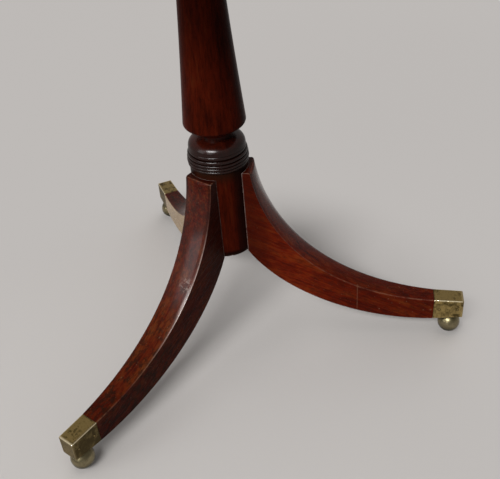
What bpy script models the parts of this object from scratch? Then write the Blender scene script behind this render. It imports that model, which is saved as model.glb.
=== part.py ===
"""Tripod table of about 1810: a turned pillar on three sabre legs with brass toe caps and
ball feet, under a round top that tilts on a pivot block. Metres, +Z up, floor at Z = 0,
pillar axis on Z, the front leg towards -Y."""

import math

import bmesh
import bpy
from mathutils import Matrix, Vector

# Fits between pieces
FIT = 0.0003
RUNNING_FIT = 0.0005
MERGE_DISTANCE = 0.000003

# Round top
TABLE_HEIGHT = 0.720
TOP_DIAMETER = 0.680
TOP_THICKNESS = 0.020
TOP_NOSE_DEPTH = 0.008

# Pillar, from the floor side up
PILLAR_CLEARANCE = 0.147
BASE_RADIUS = 0.036
BASE_HEIGHT = 0.1272
BASE_CHAMFER = 0.002
LOW_REED_HEIGHT = 0.0036
LOW_REED_RADIUS = 0.0379
MAIN_REED_HEIGHT = 0.0038
MAIN_REED_RADIUS = 0.0384
FINE_REED_HEIGHT = 0.0036
FINE_REED_RADIUS = 0.0380
TORUS_HEIGHT = 0.0048
TORUS_RADIUS = 0.0373
COLLAR_HEIGHT = 0.0050
COLLAR_RADIUS = 0.0357
FILLET_HEIGHT = 0.0016
FILLET_RADIUS = 0.0354
REED_BULGE = 0.0014
GROOVE_WIDTH = 0.0004
DOME_HEIGHT = 0.0110
DOME_RADIUS = 0.0352
NECK_RADIUS = 0.020
NECK_HEIGHT = 0.008
BULB_COVE = 0.0075
BULB_EDGE = 0.0045
BULB_RADIUS = 0.0382
SHAFT_TOP_RADIUS = 0.0203
SHAFT_EASE = 1.55
ASTRAGAL_HEIGHT = 0.007
ASTRAGAL_RADIUS = 0.0245
CAPITAL_HEIGHT = 0.016
CAPITAL_RADIUS = 0.032
CAPITAL_FILLET = 0.004
TENON_RADIUS = 0.017

# Sabre legs
LEG_ANGLES = {"front": -90.0, "right": 30.0, "left": 150.0}
LEG_LEDGE_DROP = 0.0082
LEG_LEDGE_PROUD = 0.0053
LEG_CORNER = 0.0030
LEG_ROOT_WIDTH = 0.0395
LEG_TOE_WIDTH = 0.0242
LEG_TAPER_EASE = 1.5
LEG_ARRIS = 0.0012
LEG_FRONT_LEAN = math.radians(83.2)
LEG_FRONT_PULL = 0.105
LEG_INSTEP_LEAN = math.radians(4.0)
LEG_INSTEP_PULL = 0.137
LEG_UNDER_LEAN = math.radians(59.5)
LEG_UNDER_PULL = 0.0735
LEG_ARCH_PULL = 0.113

# Dovetail keys of the legs
KEY_DEPTH = 0.018
KEY_TAIL_WIDTH = 0.021
KEY_NECK_WIDTH = 0.015
KEY_STOP = 0.012

# Brass feet
FOOT_CIRCLE_RADIUS = 0.300
BALL_DIAMETER = 0.030
STUD_RADIUS = 0.0032
STUD_LENGTH = 0.020
CAP_LENGTH = 0.0393
CAP_BEHIND_BALL = 0.0234
CAP_ROOT_HEIGHT = 0.0331
CAP_TOE_WIDTH = 0.0230
CAP_TOP_FALL = 0.0015
CAP_UNDER_RISE = 0.0034
CAP_WALL = 0.0016
CAP_EDGE = 0.0008
PIN_RADIUS = 0.0011
PIN_LENGTH = 0.007
PIN_PROUD = 0.0002
PIN_INSET = 0.0075

# Pivot block
BLOCK_WIDTH = 0.160
BLOCK_DEPTH = 0.160
BLOCK_THICKNESS = 0.034
PIVOT_INSET = 0.017
PIVOT_RADIUS = 0.009
PIVOT_SETBACK = 0.002
WEDGE_DEPTH = 0.024
WEDGE_HEAD = 0.0036
WEDGE_TIP = 0.0012

# Bearers under the top
BEARER_WIDTH = 0.036
BEARER_DEPTH = 0.034
BEARER_LENGTH = 0.520
BEARER_END_DEPTH = 0.012
BEARER_END_SLOPE = 0.070
BEARER_SCREW_PLACES = (-0.170, -0.040, 0.150)
BEARER_SCREW_RADIUS = 0.0024
BEARER_SCREW_HEAD = 0.0048
BEARER_SCREW_BITE = 0.012

# Brass catch under the top and its keeper in the block
CATCH_GAP = 0.004
CATCH_LENGTH = 0.062
CATCH_WIDTH = 0.036
CATCH_THICKNESS = 0.005
STAPLE_LENGTH = 0.008
STAPLE_INSET = 0.006
STAPLE_WALL = 0.002
BOLT_WIDTH = 0.012
BOLT_THICKNESS = 0.006
BOLT_LENGTH = 0.060
BOLT_REST_GAP = 0.0015
BOLT_THROW = 0.008
BOLT_POCKET_SPARE = 0.002
KNOB_STEM_RADIUS = 0.0025
KNOB_STEM_LENGTH = 0.006
KNOB_RADIUS = 0.005
KNOB_SHANK_RADIUS = 0.0018
KNOB_SHANK_LENGTH = 0.004
CATCH_SCREW_RADIUS = 0.0014
CATCH_SCREW_HEAD = 0.0028
CATCH_SCREW_BITE = 0.007
CATCH_SCREW_EDGE = 0.005
KEEPER_WIDTH = 0.038
KEEPER_HEIGHT = 0.018
KEEPER_THICKNESS = 0.002
KEEPER_EDGE = 0.0015
KEEPER_SCREW_LENGTH = 0.010
KEEPER_SCREW_EDGE = 0.006
SCREW_SLOT_WIDTH = 0.0009
SCREW_SLOT_DEPTH = 0.0008

# Facets: steps once round a turned piece, or along one curve of an outline
PILLAR_STEPS = 36
TOP_STEPS = 80
ROUND_STEPS = 24
BALL_STEPS = 20
SCREW_STEPS = 12
PIN_STEPS = 8
SHAFT_STEPS = 8
REED_STEPS = 4
DOME_STEPS = 4
COVE_STEPS = 3
EDGE_STEPS = 2
NOSE_STEPS = 6
CORNER_STEPS = 8
KNOB_STEPS = 7
LEG_STEPS = 20
ROOT_STEPS = 3
SHADE_ANGLE = math.radians(32.0)
FLAT_ANGLE = math.radians(0.05)

# Heights of the seats that the pieces share
TOP_UNDERSIDE = TABLE_HEIGHT - TOP_THICKNESS
SEAT_LEVEL = TOP_UNDERSIDE - FIT
BLOCK_TOP = SEAT_LEVEL
BLOCK_BOTTOM = BLOCK_TOP - BLOCK_THICKNESS
PILLAR_SHOULDER = BLOCK_BOTTOM - FIT
TENON_TOP = BLOCK_TOP - FIT
PILLAR_BOTTOM = PILLAR_CLEARANCE
BASE_TOP = PILLAR_BOTTOM + BASE_HEIGHT
LEG_TOP = BASE_TOP - LEG_LEDGE_DROP
KEY_TOP = LEG_TOP - KEY_STOP

# Places along a leg, measured outwards from the pillar axis
CAP_START = FOOT_CIRCLE_RADIUS - CAP_BEHIND_BALL
CAP_END = CAP_START + CAP_LENGTH
CAP_UNDER_START = BALL_DIAMETER + FIT - CAP_UNDER_RISE * CAP_BEHIND_BALL / CAP_LENGTH
CAP_TOP_START = CAP_UNDER_START + CAP_ROOT_HEIGHT

# Pivot axis, parallel to X
PIVOT_Y = BLOCK_DEPTH / 2 - PIVOT_INSET
PIVOT_Z = BLOCK_TOP - PIVOT_INSET

# Catch, in front of the block
BLOCK_FRONT = -BLOCK_DEPTH / 2
CATCH_NEAR = BLOCK_FRONT - CATCH_GAP
CATCH_FAR = CATCH_NEAR - CATCH_LENGTH
CATCH_UNDERSIDE = SEAT_LEVEL - CATCH_THICKNESS
BOLT_TOP = CATCH_UNDERSIDE - FIT
BOLT_UNDERSIDE = BOLT_TOP - BOLT_THICKNESS
BOLT_MIDDLE = BOLT_TOP - BOLT_THICKNESS / 2
BOLT_TIP = BLOCK_FRONT - BOLT_REST_GAP
KNOB_Y = (CATCH_NEAR + CATCH_FAR) / 2 - BOLT_THROW / 2
KEEPER_TOP = BLOCK_TOP - KEEPER_EDGE
KEEPER_MIDDLE = KEEPER_TOP - KEEPER_HEIGHT / 2

# Turns an outline drawn in (Y, Z) so that its thickness lies along X
ACROSS = Matrix(((0, 0, 1), (1, 0, 0), (0, 1, 0))).to_4x4()

# Colour, roughness and metallic value of each kind of surface
FINISHES = {
    "pillar_mahogany": ((0.040, 0.011, 0.005), 0.22, 0.0),
    "leg_mahogany": ((0.075, 0.020, 0.008), 0.28, 0.0),
    "top_mahogany": ((0.085, 0.024, 0.009), 0.25, 0.0),
    "block_mahogany": ((0.060, 0.020, 0.009), 0.50, 0.0),
    "bearer_mahogany": ((0.070, 0.024, 0.011), 0.50, 0.0),
    "wedge_beech": ((0.300, 0.190, 0.100), 0.60, 0.0),
    "cap_brass": ((0.350, 0.250, 0.090), 0.42, 1.0),
    "ball_brass": ((0.450, 0.310, 0.100), 0.30, 1.0),
    "catch_brass": ((0.480, 0.340, 0.120), 0.35, 1.0),
    "pin_brass": ((0.300, 0.210, 0.080), 0.45, 1.0),
    "screw_iron": ((0.110, 0.100, 0.095), 0.55, 1.0),
}


def clear_scene():
    for obj in list(bpy.data.objects):
        bpy.data.objects.remove(obj, do_unlink=True)


def make_collection(name):
    collection = bpy.data.collections.new(name)
    bpy.context.scene.collection.children.link(collection)
    return collection


clear_scene()
PARTS = make_collection("tripod_table")
CUTTERS = make_collection("cutters")


def finish_material(name):
    """One Principled material for each kind of surface."""
    material = bpy.data.materials.get(name)
    if material:
        return material
    colour, roughness, metallic = FINISHES[name]
    material = bpy.data.materials.new(name)
    material.use_nodes = True
    shader = material.node_tree.nodes["Principled BSDF"]
    shader.inputs["Base Color"].default_value = (*colour, 1.0)
    shader.inputs["Roughness"].default_value = roughness
    shader.inputs["Metallic"].default_value = metallic
    return material


def blank(name, mesh):
    """A working object; it serves as a cutter, or is baked into a part."""
    obj = bpy.data.objects.new(name, mesh)
    CUTTERS.objects.link(obj)
    obj.hide_render = True
    obj.display_type = "WIRE"
    return obj


def from_bmesh(name, bm):
    bmesh.ops.recalc_face_normals(bm, faces=bm.faces)
    mesh = bpy.data.meshes.new(name)
    bm.to_mesh(mesh)
    bm.free()
    return blank(name, mesh)


def box(name, low, high):
    """A block between two opposite corners."""
    low, high = Vector(low), Vector(high)
    bm = bmesh.new()
    size = Matrix.Diagonal((*(high - low), 1.0))
    bmesh.ops.create_cube(bm, size=1.0, matrix=Matrix.Translation((low + high) / 2) @ size)
    return from_bmesh(name, bm)


def rod(name, start, end, radius, steps):
    """A round bar from one point to another."""
    start, end = Vector(start), Vector(end)
    along = end - start
    turn = along.to_track_quat("Z", "Y").to_matrix().to_4x4()
    place = Matrix.Translation((start + end) / 2) @ turn
    bm = bmesh.new()
    bmesh.ops.create_cone(bm, cap_ends=True, segments=steps, radius1=radius, radius2=radius,
                          depth=along.length, matrix=place)
    return from_bmesh(name, bm)


def turned(name, profile, steps):
    """A profile of (radius, height) points, top to bottom, spun round Z."""
    mesh = bpy.data.meshes.new(name)
    points = [(radius, 0.0, height) for radius, height in profile]
    mesh.from_pydata(points, [(i, i + 1) for i in range(len(points) - 1)], [])
    obj = blank(name, mesh)
    screw = obj.modifiers.new("spin", "SCREW")
    screw.axis = "Z"
    screw.steps = steps
    screw.render_steps = steps
    screw.use_merge_vertices = True
    screw.merge_threshold = MERGE_DISTANCE
    return obj


def slab(name, outline, thickness, place):
    """A closed outline, extruded by half its thickness to either side, with one face at each end."""
    curve = bpy.data.curves.new(name, "CURVE")
    curve.dimensions = "2D"
    curve.fill_mode = "BOTH"
    curve.extrude = thickness / 2
    spline = curve.splines.new("POLY")
    spline.points.add(len(outline) - 1)
    for point, (u, v) in zip(spline.points, outline):
        point.co = (u, v, 0.0, 1.0)
    spline.use_cyclic_u = True
    sketch = blank(f"{name} sketch", curve)
    bm = bmesh.new()
    bm.from_mesh(baked(sketch))
    bpy.data.objects.remove(sketch, do_unlink=True)
    bmesh.ops.remove_doubles(bm, verts=bm.verts, dist=MERGE_DISTANCE)
    bmesh.ops.dissolve_limit(bm, angle_limit=FLAT_ANGLE, verts=bm.verts, edges=bm.edges)
    bmesh.ops.transform(bm, matrix=place, verts=bm.verts)
    return from_bmesh(name, bm)


def loft(name, sections):
    """A skin over sections with the same number of points, closed at both ends."""
    bm = bmesh.new()
    rows = [[bm.verts.new(point) for point in section] for section in sections]
    for row, following in zip(rows, rows[1:]):
        for i in range(len(row)):
            j = (i + 1) % len(row)
            bm.faces.new((row[i], row[j], following[j], following[i]))
    bm.faces.new(rows[0])
    bm.faces.new(rows[-1])
    return from_bmesh(name, bm)


def baked(obj):
    """The mesh that an object's modifiers leave."""
    bpy.context.view_layer.update()
    depsgraph = bpy.context.evaluated_depsgraph_get()
    return bpy.data.meshes.new_from_object(obj.evaluated_get(depsgraph), depsgraph=depsgraph)


def combine(obj, tool, operation):
    modifier = obj.modifiers.new(f"{operation} {tool.name}", "BOOLEAN")
    modifier.operation = operation
    modifier.solver = "EXACT"
    modifier.object = tool


def cut(obj, *tools):
    for tool in tools:
        combine(obj, tool, "DIFFERENCE")


def join(obj, *tools):
    for tool in tools:
        combine(obj, tool, "UNION")


def part(name, source, finish, angle=0.0, carrier=None):
    """Bakes a working object into a named part, turned about the pillar axis."""
    mesh = source if isinstance(source, bpy.types.Mesh) else baked(source)
    mesh.shade_smooth()
    mesh.set_sharp_from_angle(angle=SHADE_ANGLE)
    mesh.materials.clear()
    mesh.materials.append(finish_material(finish))
    obj = bpy.data.objects.new(name, mesh)
    obj.rotation_euler.z = math.radians(angle)
    PARTS.objects.link(obj)
    if carrier:
        obj.parent = carrier
        obj.matrix_parent_inverse = carrier.matrix_world.inverted()
    return obj


def joint_empty(name, location, carrier=None):
    """An empty on a joint's axis, which carries the pieces that move with it."""
    empty = bpy.data.objects.new(name, None)
    empty.location = location
    PARTS.objects.link(empty)
    bpy.context.view_layer.update()
    if carrier:
        empty.parent = carrier
        empty.matrix_parent_inverse = carrier.matrix_world.inverted()
        bpy.context.view_layer.update()
    return empty


def arc(centre, radii, start, end, steps):
    """Points on an ellipse's arc, from one angle in degrees to another."""
    points = []
    for i in range(steps + 1):
        angle = math.radians(start + (end - start) * i / steps)
        points.append((centre[0] + radii[0] * math.cos(angle), centre[1] + radii[1] * math.sin(angle)))
    return points


def reed(bottom, height, radius):
    """A half-round moulding on the pillar, top to bottom."""
    centre = (radius - REED_BULGE, bottom + height / 2)
    return arc(centre, (REED_BULGE, height / 2), 90, -90, REED_STEPS)


def shaft_radius(height, foot, top):
    """Radius of the tapering shaft, which straightens towards its top."""
    climbed = (height - foot) / (top - foot)
    return SHAFT_TOP_RADIUS + (BULB_RADIUS - SHAFT_TOP_RADIUS) * (1 - climbed) ** SHAFT_EASE


def pillar_profile():
    """Outer side of the pillar, from the tenon down to the base."""
    reeds = (
        (LOW_REED_HEIGHT, LOW_REED_RADIUS),
        (MAIN_REED_HEIGHT, MAIN_REED_RADIUS),
        (FINE_REED_HEIGHT, FINE_REED_RADIUS),
        (TORUS_HEIGHT, TORUS_RADIUS),
        (COLLAR_HEIGHT, COLLAR_RADIUS),
    )
    stack = []
    level = BASE_TOP
    for height, radius in reeds:
        stack.insert(0, reed(level, height, radius))
        level += height + GROOVE_WIDTH
    fillet_top = level + FILLET_HEIGHT
    dome_bottom = fillet_top + GROOVE_WIDTH
    dome_top = dome_bottom + DOME_HEIGHT
    neck_top = dome_top + NECK_HEIGHT
    bulb_bottom = neck_top + BULB_COVE
    bulb_level = bulb_bottom + BULB_EDGE
    cove_top = PILLAR_SHOULDER - CAPITAL_FILLET
    astragal_top = PILLAR_SHOULDER - CAPITAL_HEIGHT
    shaft_top = astragal_top - ASTRAGAL_HEIGHT

    profile = [(0.0, TENON_TOP), (TENON_RADIUS, TENON_TOP), (TENON_RADIUS, PILLAR_SHOULDER)]
    profile += [(CAPITAL_RADIUS, PILLAR_SHOULDER)]
    cove = (CAPITAL_RADIUS - SHAFT_TOP_RADIUS, cove_top - astragal_top)
    profile += arc((CAPITAL_RADIUS, astragal_top), cove, 90, 180, COVE_STEPS)
    nose = (ASTRAGAL_RADIUS - SHAFT_TOP_RADIUS, ASTRAGAL_HEIGHT / 2)
    profile += arc((SHAFT_TOP_RADIUS, shaft_top + nose[1]), nose, 60, -90, REED_STEPS)
    for i in range(1, SHAFT_STEPS + 1):
        height = shaft_top + (bulb_level - shaft_top) * i / SHAFT_STEPS
        profile.append((shaft_radius(height, bulb_level, shaft_top), height))
    bulb_inside = BULB_RADIUS - BULB_EDGE
    profile += arc((bulb_inside, bulb_level), (BULB_EDGE, BULB_EDGE), -30, -90, EDGE_STEPS)
    undercut = (bulb_inside - NECK_RADIUS, BULB_COVE)
    profile += arc((bulb_inside, neck_top), undercut, 120, 180, EDGE_STEPS)
    dome = (DOME_RADIUS - NECK_RADIUS, DOME_HEIGHT)
    profile += arc((NECK_RADIUS, dome_bottom), dome, 90, 0, DOME_STEPS)
    profile += [(FILLET_RADIUS, fillet_top), (FILLET_RADIUS, level)]
    for moulding in stack:
        profile += moulding
    profile += [(BASE_RADIUS, BASE_TOP), (BASE_RADIUS, PILLAR_BOTTOM + BASE_CHAMFER)]
    profile += [(BASE_RADIUS - BASE_CHAMFER, PILLAR_BOTTOM), (0.0, PILLAR_BOTTOM)]
    return profile


def dovetail(name, grow, bottom, top):
    """The key on a leg's root, or with a clearance its housing in the pillar."""
    tail = KEY_TAIL_WIDTH / 2 + grow
    neck = KEY_NECK_WIDTH / 2 + grow
    inner = BASE_RADIUS - KEY_DEPTH - grow
    waist = math.sqrt(BASE_RADIUS ** 2 - (LEG_ROOT_WIDTH / 2) ** 2)
    outer = BASE_RADIUS + LEG_LEDGE_PROUD / 2
    near_side = [(inner, -tail), (waist, -neck), (outer, -neck)]
    outline = near_side + [(u, -v) for u, v in reversed(near_side)]
    return slab(name, outline, top - bottom, Matrix.Translation((0, 0, (top + bottom) / 2)))


def tenon_wedge_blank(name, grow):
    """The wedge, thick at its head; with a clearance it is the kerf that it fills."""
    reach = math.sqrt(TENON_RADIUS ** 2 - (WEDGE_HEAD / 2) ** 2) - FIT + 2 * grow
    ends = ((TENON_TOP + grow, WEDGE_HEAD), (TENON_TOP - WEDGE_DEPTH - grow, WEDGE_TIP))
    sections = []
    for level, thickness in ends:
        half = thickness / 2 + grow
        near_edge = [(-reach, -half, level), (reach, -half, level)]
        far_edge = [(reach, half, level), (-reach, half, level)]
        sections.append(near_edge + far_edge)
    return loft(name, sections)


def build_pillar():
    pillar = turned("pillar blank", pillar_profile(), PILLAR_STEPS)
    for side, angle in LEG_ANGLES.items():
        housing = dovetail(f"housing {side}", FIT, PILLAR_BOTTOM - KEY_DEPTH, KEY_TOP + FIT)
        housing.rotation_euler.z = math.radians(angle)
        cut(pillar, housing)
    cut(pillar, tenon_wedge_blank("kerf", FIT))
    part("pillar", pillar, "pillar_mahogany")
    part("tenon_wedge", tenon_wedge_blank("wedge blank", 0.0), "wedge_beech")


def leg_half_width(outward):
    """Half the leg's thickness, which thins faster towards the toe."""
    start = BASE_RADIUS + LEG_LEDGE_PROUD
    gone = min(max((outward - start) / (CAP_START - start), 0.0), 1.0)
    return (LEG_ROOT_WIDTH + (LEG_TOE_WIDTH - LEG_ROOT_WIDTH) * gone ** LEG_TAPER_EASE) / 2


def leg_section(top, bottom, half_width, arris):
    """An eight-sided section between a top and a bottom point, with its arrises taken off."""
    top = Vector((top[0], 0.0, top[1]))
    bottom = Vector((bottom[0], 0.0, bottom[1]))
    down = (bottom - top).normalized() * arris
    side = Vector((0.0, half_width, 0.0))
    inside = Vector((0.0, half_width - arris, 0.0))
    return [
        top + inside,
        top + down + side,
        bottom - down + side,
        bottom + inside,
        bottom - inside,
        bottom - down - side,
        top + down - side,
        top - inside,
    ]


def bezier(points, share):
    """A point on a cubic curve."""
    left = 1 - share
    weights = (left ** 3, 3 * left ** 2 * share, 3 * left * share ** 2, share ** 3)
    return sum((weight * point for weight, point in zip(weights, points)), Vector((0.0, 0.0)))


def curve_points(start, start_lean, start_pull, end, end_lean, end_pull):
    """Control points of a curve that leaves and arrives at a downward angle."""
    leave = Vector((math.cos(start_lean), -math.sin(start_lean))) * start_pull
    arrive = Vector((math.cos(end_lean), -math.sin(end_lean))) * end_pull
    return (start, start + leave, end - arrive, end)


def toe_line(outward, inset):
    """Top and bottom heights along the toe cap, drawn in from its outer faces."""
    gone = (outward - CAP_START) / CAP_LENGTH
    top = CAP_TOP_START - CAP_TOP_FALL * gone - inset
    bottom = CAP_UNDER_START + CAP_UNDER_RISE * gone + inset
    return top, bottom


def toe_section(outward, inset, arris):
    """A section of the toe cap, or of what lies inside it."""
    gone = (outward - CAP_START) / CAP_LENGTH
    half = (LEG_TOE_WIDTH + (CAP_TOE_WIDTH - LEG_TOE_WIDTH) * gone) / 2 - inset
    top, bottom = toe_line(outward, inset)
    return leg_section((outward, top), (outward, bottom), half, arris)


def leg_sections():
    """Sections from inside the pillar, down the sabre curve and into the cap."""
    ledge = BASE_RADIUS + LEG_LEDGE_PROUD
    front_start = Vector((ledge, LEG_TOP - LEG_CORNER))
    under_start = Vector((math.sqrt(BASE_RADIUS ** 2 - (LEG_ROOT_WIDTH / 2) ** 2), PILLAR_BOTTOM))
    front_end = Vector((CAP_START - FIT, CAP_TOP_START))
    under_end = Vector((CAP_START - FIT, CAP_UNDER_START))
    front = curve_points(front_start, LEG_FRONT_LEAN, LEG_FRONT_PULL,
                         front_end, LEG_INSTEP_LEAN, LEG_INSTEP_PULL)
    under = curve_points(under_start, LEG_UNDER_LEAN, LEG_UNDER_PULL,
                         under_end, 0.0, LEG_ARCH_PULL)

    root = LEG_ROOT_WIDTH / 2
    buried = BASE_RADIUS - KEY_DEPTH
    shoulder = ledge - LEG_CORNER
    step = (under_start.x - buried) / ROOT_STEPS
    eased = LEG_CORNER * (1 - math.sqrt(0.5))
    rounding = (ledge - eased, LEG_TOP - eased)
    sections = [
        leg_section((buried, LEG_TOP), (buried, PILLAR_BOTTOM), root, LEG_ARRIS),
        leg_section((shoulder, LEG_TOP), (buried + step, PILLAR_BOTTOM), root, LEG_ARRIS),
        leg_section(rounding, (buried + 2 * step, PILLAR_BOTTOM), root, LEG_ARRIS),
    ]
    for i in range(LEG_STEPS + 1):
        top = bezier(front, i / LEG_STEPS)
        bottom = bezier(under, i / LEG_STEPS)
        sections.append(leg_section(top, bottom, leg_half_width((top.x + bottom.x) / 2), LEG_ARRIS))
    inset = CAP_WALL + FIT
    sections.append(toe_section(CAP_START - FIT, inset, LEG_ARRIS))
    sections.append(toe_section(CAP_END - inset, inset, LEG_ARRIS))
    return sections


def foot_stud(name, grow):
    """The stud of a ball foot, or with a clearance the hole for it."""
    start = (FOOT_CIRCLE_RADIUS, 0.0, BALL_DIAMETER / 2)
    end = (FOOT_CIRCLE_RADIUS, 0.0, BALL_DIAMETER + STUD_LENGTH + grow)
    return rod(name, start, end, STUD_RADIUS + grow, ROUND_STEPS)


def pin_blanks(name, grow):
    """The pins of one toe cap, two in each flank, driven in square to it."""
    pins = []
    for outward in (CAP_START + PIN_INSET, CAP_END - PIN_INSET):
        top, bottom = toe_line(outward, 0.0)
        level = (top + bottom) / 2
        gone = (outward - CAP_START) / CAP_LENGTH
        face = (LEG_TOE_WIDTH + (CAP_TOE_WIDTH - LEG_TOE_WIDTH) * gone) / 2 + PIN_PROUD
        for side in (-1, 1):
            head = (outward, side * face, level)
            point = (outward, side * (face - PIN_LENGTH - grow), level)
            pins.append(rod(f"{name} {len(pins)}", head, point, PIN_RADIUS + grow, PIN_STEPS))
    return pins


def build_legs():
    leg = loft("leg blank", leg_sections())
    scribe = rod("pillar scribe", (0, 0, 0), (0, 0, BASE_TOP + FIT), BASE_RADIUS + FIT, PILLAR_STEPS)
    cut(leg, scribe)
    join(leg, dovetail("key", 0.0, PILLAR_BOTTOM, KEY_TOP))
    cut(leg, foot_stud("stud hole", FIT), *pin_blanks("toe pin hole", FIT))
    mesh = baked(leg)
    for side, angle in LEG_ANGLES.items():
        part(f"leg_{side}", mesh, "leg_mahogany", angle)


def build_toe_caps():
    edge = CAP_END - CAP_EDGE
    cap = loft("cap blank", [
        toe_section(CAP_START, 0.0, LEG_ARRIS),
        toe_section(edge, 0.0, LEG_ARRIS),
        toe_section(CAP_END, CAP_EDGE, LEG_ARRIS),
    ])
    hollow = loft("cap hollow", [
        toe_section(CAP_START - CAP_WALL, CAP_WALL, LEG_ARRIS),
        toe_section(CAP_END - CAP_WALL, CAP_WALL, LEG_ARRIS),
    ])
    cut(cap, hollow, foot_stud("cap stud hole", FIT), *pin_blanks("cap pin hole", FIT))
    mesh = baked(cap)
    for side, angle in LEG_ANGLES.items():
        part(f"toe_cap_{side}", mesh, "cap_brass", angle)


def build_ball_feet():
    radius = BALL_DIAMETER / 2
    shoulder = math.degrees(math.acos(STUD_RADIUS / radius))
    stud_top = BALL_DIAMETER + STUD_LENGTH
    profile = [(0.0, stud_top), (STUD_RADIUS, stud_top)]
    profile += arc((0.0, radius), (radius, radius), shoulder, -90, BALL_STEPS // 2)
    ball = turned("ball blank", profile, BALL_STEPS)
    mesh = baked(ball)
    mesh.transform(Matrix.Translation((FOOT_CIRCLE_RADIUS, 0.0, 0.0)))
    for side, angle in LEG_ANGLES.items():
        part(f"ball_foot_{side}", mesh, "ball_brass", angle)


def build_cap_pins():
    meshes = [baked(pin) for pin in pin_blanks("pin", 0.0)]
    for side, angle in LEG_ANGLES.items():
        for number, mesh in enumerate(meshes, start=1):
            part(f"cap_pin_{side}_{number}", mesh, "pin_brass", angle)


def screw_blank(name, place, head, shank, length, grow=0.0):
    """A slotted, countersunk screw that points up from its head's face at the origin of place.
    With a clearance it is the hole for it."""
    sink = head - shank
    profile = [
        (0.0, length + grow),
        (shank / 2 + grow, length + grow),
        (shank + grow, length - 2 * shank + grow),
        (shank + grow, sink),
        (head + grow, 0.0),
        (0.0, 0.0),
    ]
    if grow:
        profile[-1:] = [(head + grow, -head), (0.0, -head)]
    screw = turned(name, profile, SCREW_STEPS)
    if not grow:
        half = SCREW_SLOT_WIDTH / 2
        cut(screw, box(f"{name} slot", (-2 * head, -half, -head), (2 * head, half, SCREW_SLOT_DEPTH)))
    mesh = baked(screw)
    mesh.transform(place)
    bpy.data.objects.remove(screw, do_unlink=True)
    return blank(name, mesh)


def bearer_screw_blanks(name, sides, grow=0.0):
    """Screws up through the bearers into the top."""
    inset = BLOCK_WIDTH / 2 + RUNNING_FIT + BEARER_WIDTH / 2
    face = SEAT_LEVEL - BEARER_DEPTH
    length = BEARER_DEPTH + BEARER_SCREW_BITE
    screws = []
    for side in sides:
        for y in BEARER_SCREW_PLACES:
            place = Matrix.Translation((side * inset, y, face))
            screws.append(screw_blank(f"{name} {side} {y}", place, BEARER_SCREW_HEAD,
                                      BEARER_SCREW_RADIUS, length, grow))
    return screws


def catch_screw_blanks(name, grow=0.0):
    """Screws up through the corners of the catch plate into the top."""
    across = CATCH_WIDTH / 2 - CATCH_SCREW_EDGE
    middle = (CATCH_NEAR + CATCH_FAR) / 2
    along = CATCH_LENGTH / 2 - CATCH_SCREW_EDGE
    length = CATCH_THICKNESS + CATCH_SCREW_BITE
    screws = []
    for x in (-across, across):
        for y in (middle - along, middle + along):
            place = Matrix.Translation((x, y, CATCH_UNDERSIDE))
            screws.append(screw_blank(f"{name} {x} {y}", place, CATCH_SCREW_HEAD,
                                      CATCH_SCREW_RADIUS, length, grow))
    return screws


def keeper_screw_blanks(name, grow=0.0):
    """Screws back through the ends of the keeper into the block's front edge."""
    across = KEEPER_WIDTH / 2 - KEEPER_SCREW_EDGE
    lay_back = Matrix.Rotation(math.radians(-90.0), 4, "X")
    screws = []
    for x in (-across, across):
        place = Matrix.Translation((x, BLOCK_FRONT, KEEPER_MIDDLE)) @ lay_back
        screws.append(screw_blank(f"{name} {x}", place, CATCH_SCREW_HEAD, CATCH_SCREW_RADIUS,
                                  KEEPER_SCREW_LENGTH, grow))
    return screws


def bolt_passage(name, start, end):
    """The hole that the bolt enters."""
    half_width = BOLT_WIDTH / 2 + RUNNING_FIT
    half_height = BOLT_THICKNESS / 2 + RUNNING_FIT
    low = (-half_width, start, BOLT_MIDDLE - half_height)
    high = (half_width, end, BOLT_MIDDLE + half_height)
    return box(name, low, high)


def keeper_blank(name, grow):
    half = KEEPER_WIDTH / 2 + grow
    low = (-half, BLOCK_FRONT - grow, KEEPER_TOP - KEEPER_HEIGHT - grow)
    high = (half, BLOCK_FRONT + KEEPER_THICKNESS + grow, KEEPER_TOP + grow)
    return box(name, low, high)


def build_block():
    back = BLOCK_DEPTH / 2
    outline = [(BLOCK_FRONT, BLOCK_BOTTOM), (back, BLOCK_BOTTOM)]
    outline += arc((PIVOT_Y, PIVOT_Z), (PIVOT_INSET, PIVOT_INSET), 0, 90, CORNER_STEPS)
    outline += [(BLOCK_FRONT, BLOCK_TOP)]
    block = slab("block blank", outline, BLOCK_WIDTH, ACROSS)
    reach = BLOCK_WIDTH / 2 + RUNNING_FIT + BEARER_WIDTH - PIVOT_SETBACK
    for side in (-1, 1):
        pin_ends = [(side * x, PIVOT_Y, PIVOT_Z) for x in (BLOCK_WIDTH / 2 - PIVOT_INSET, reach)]
        join(block, rod(f"pivot pin {side}", *pin_ends, PIVOT_RADIUS, ROUND_STEPS))
    mortise_ends = [(0, 0, z) for z in (PILLAR_SHOULDER, TOP_UNDERSIDE)]
    cut(block, rod("mortise", *mortise_ends, TENON_RADIUS + FIT, PILLAR_STEPS))
    pocket_end = BOLT_TIP + BOLT_THROW + BOLT_POCKET_SPARE
    cut(block, keeper_blank("keeper recess", FIT))
    cut(block, bolt_passage("bolt pocket", BLOCK_FRONT, pocket_end))
    cut(block, *keeper_screw_blanks("keeper screw hole", FIT))
    part("tilt_block", block, "block_mahogany")

    keeper = keeper_blank("keeper blank", 0.0)
    cut(keeper, bolt_passage("keeper eye", BLOCK_FRONT - KEEPER_THICKNESS, pocket_end))
    cut(keeper, *keeper_screw_blanks("keeper countersink", FIT))
    part("keeper_plate", keeper, "catch_brass")
    for number, screw in enumerate(keeper_screw_blanks("keeper screw"), start=1):
        part(f"keeper_screw_{number}", screw, "screw_iron")


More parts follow.
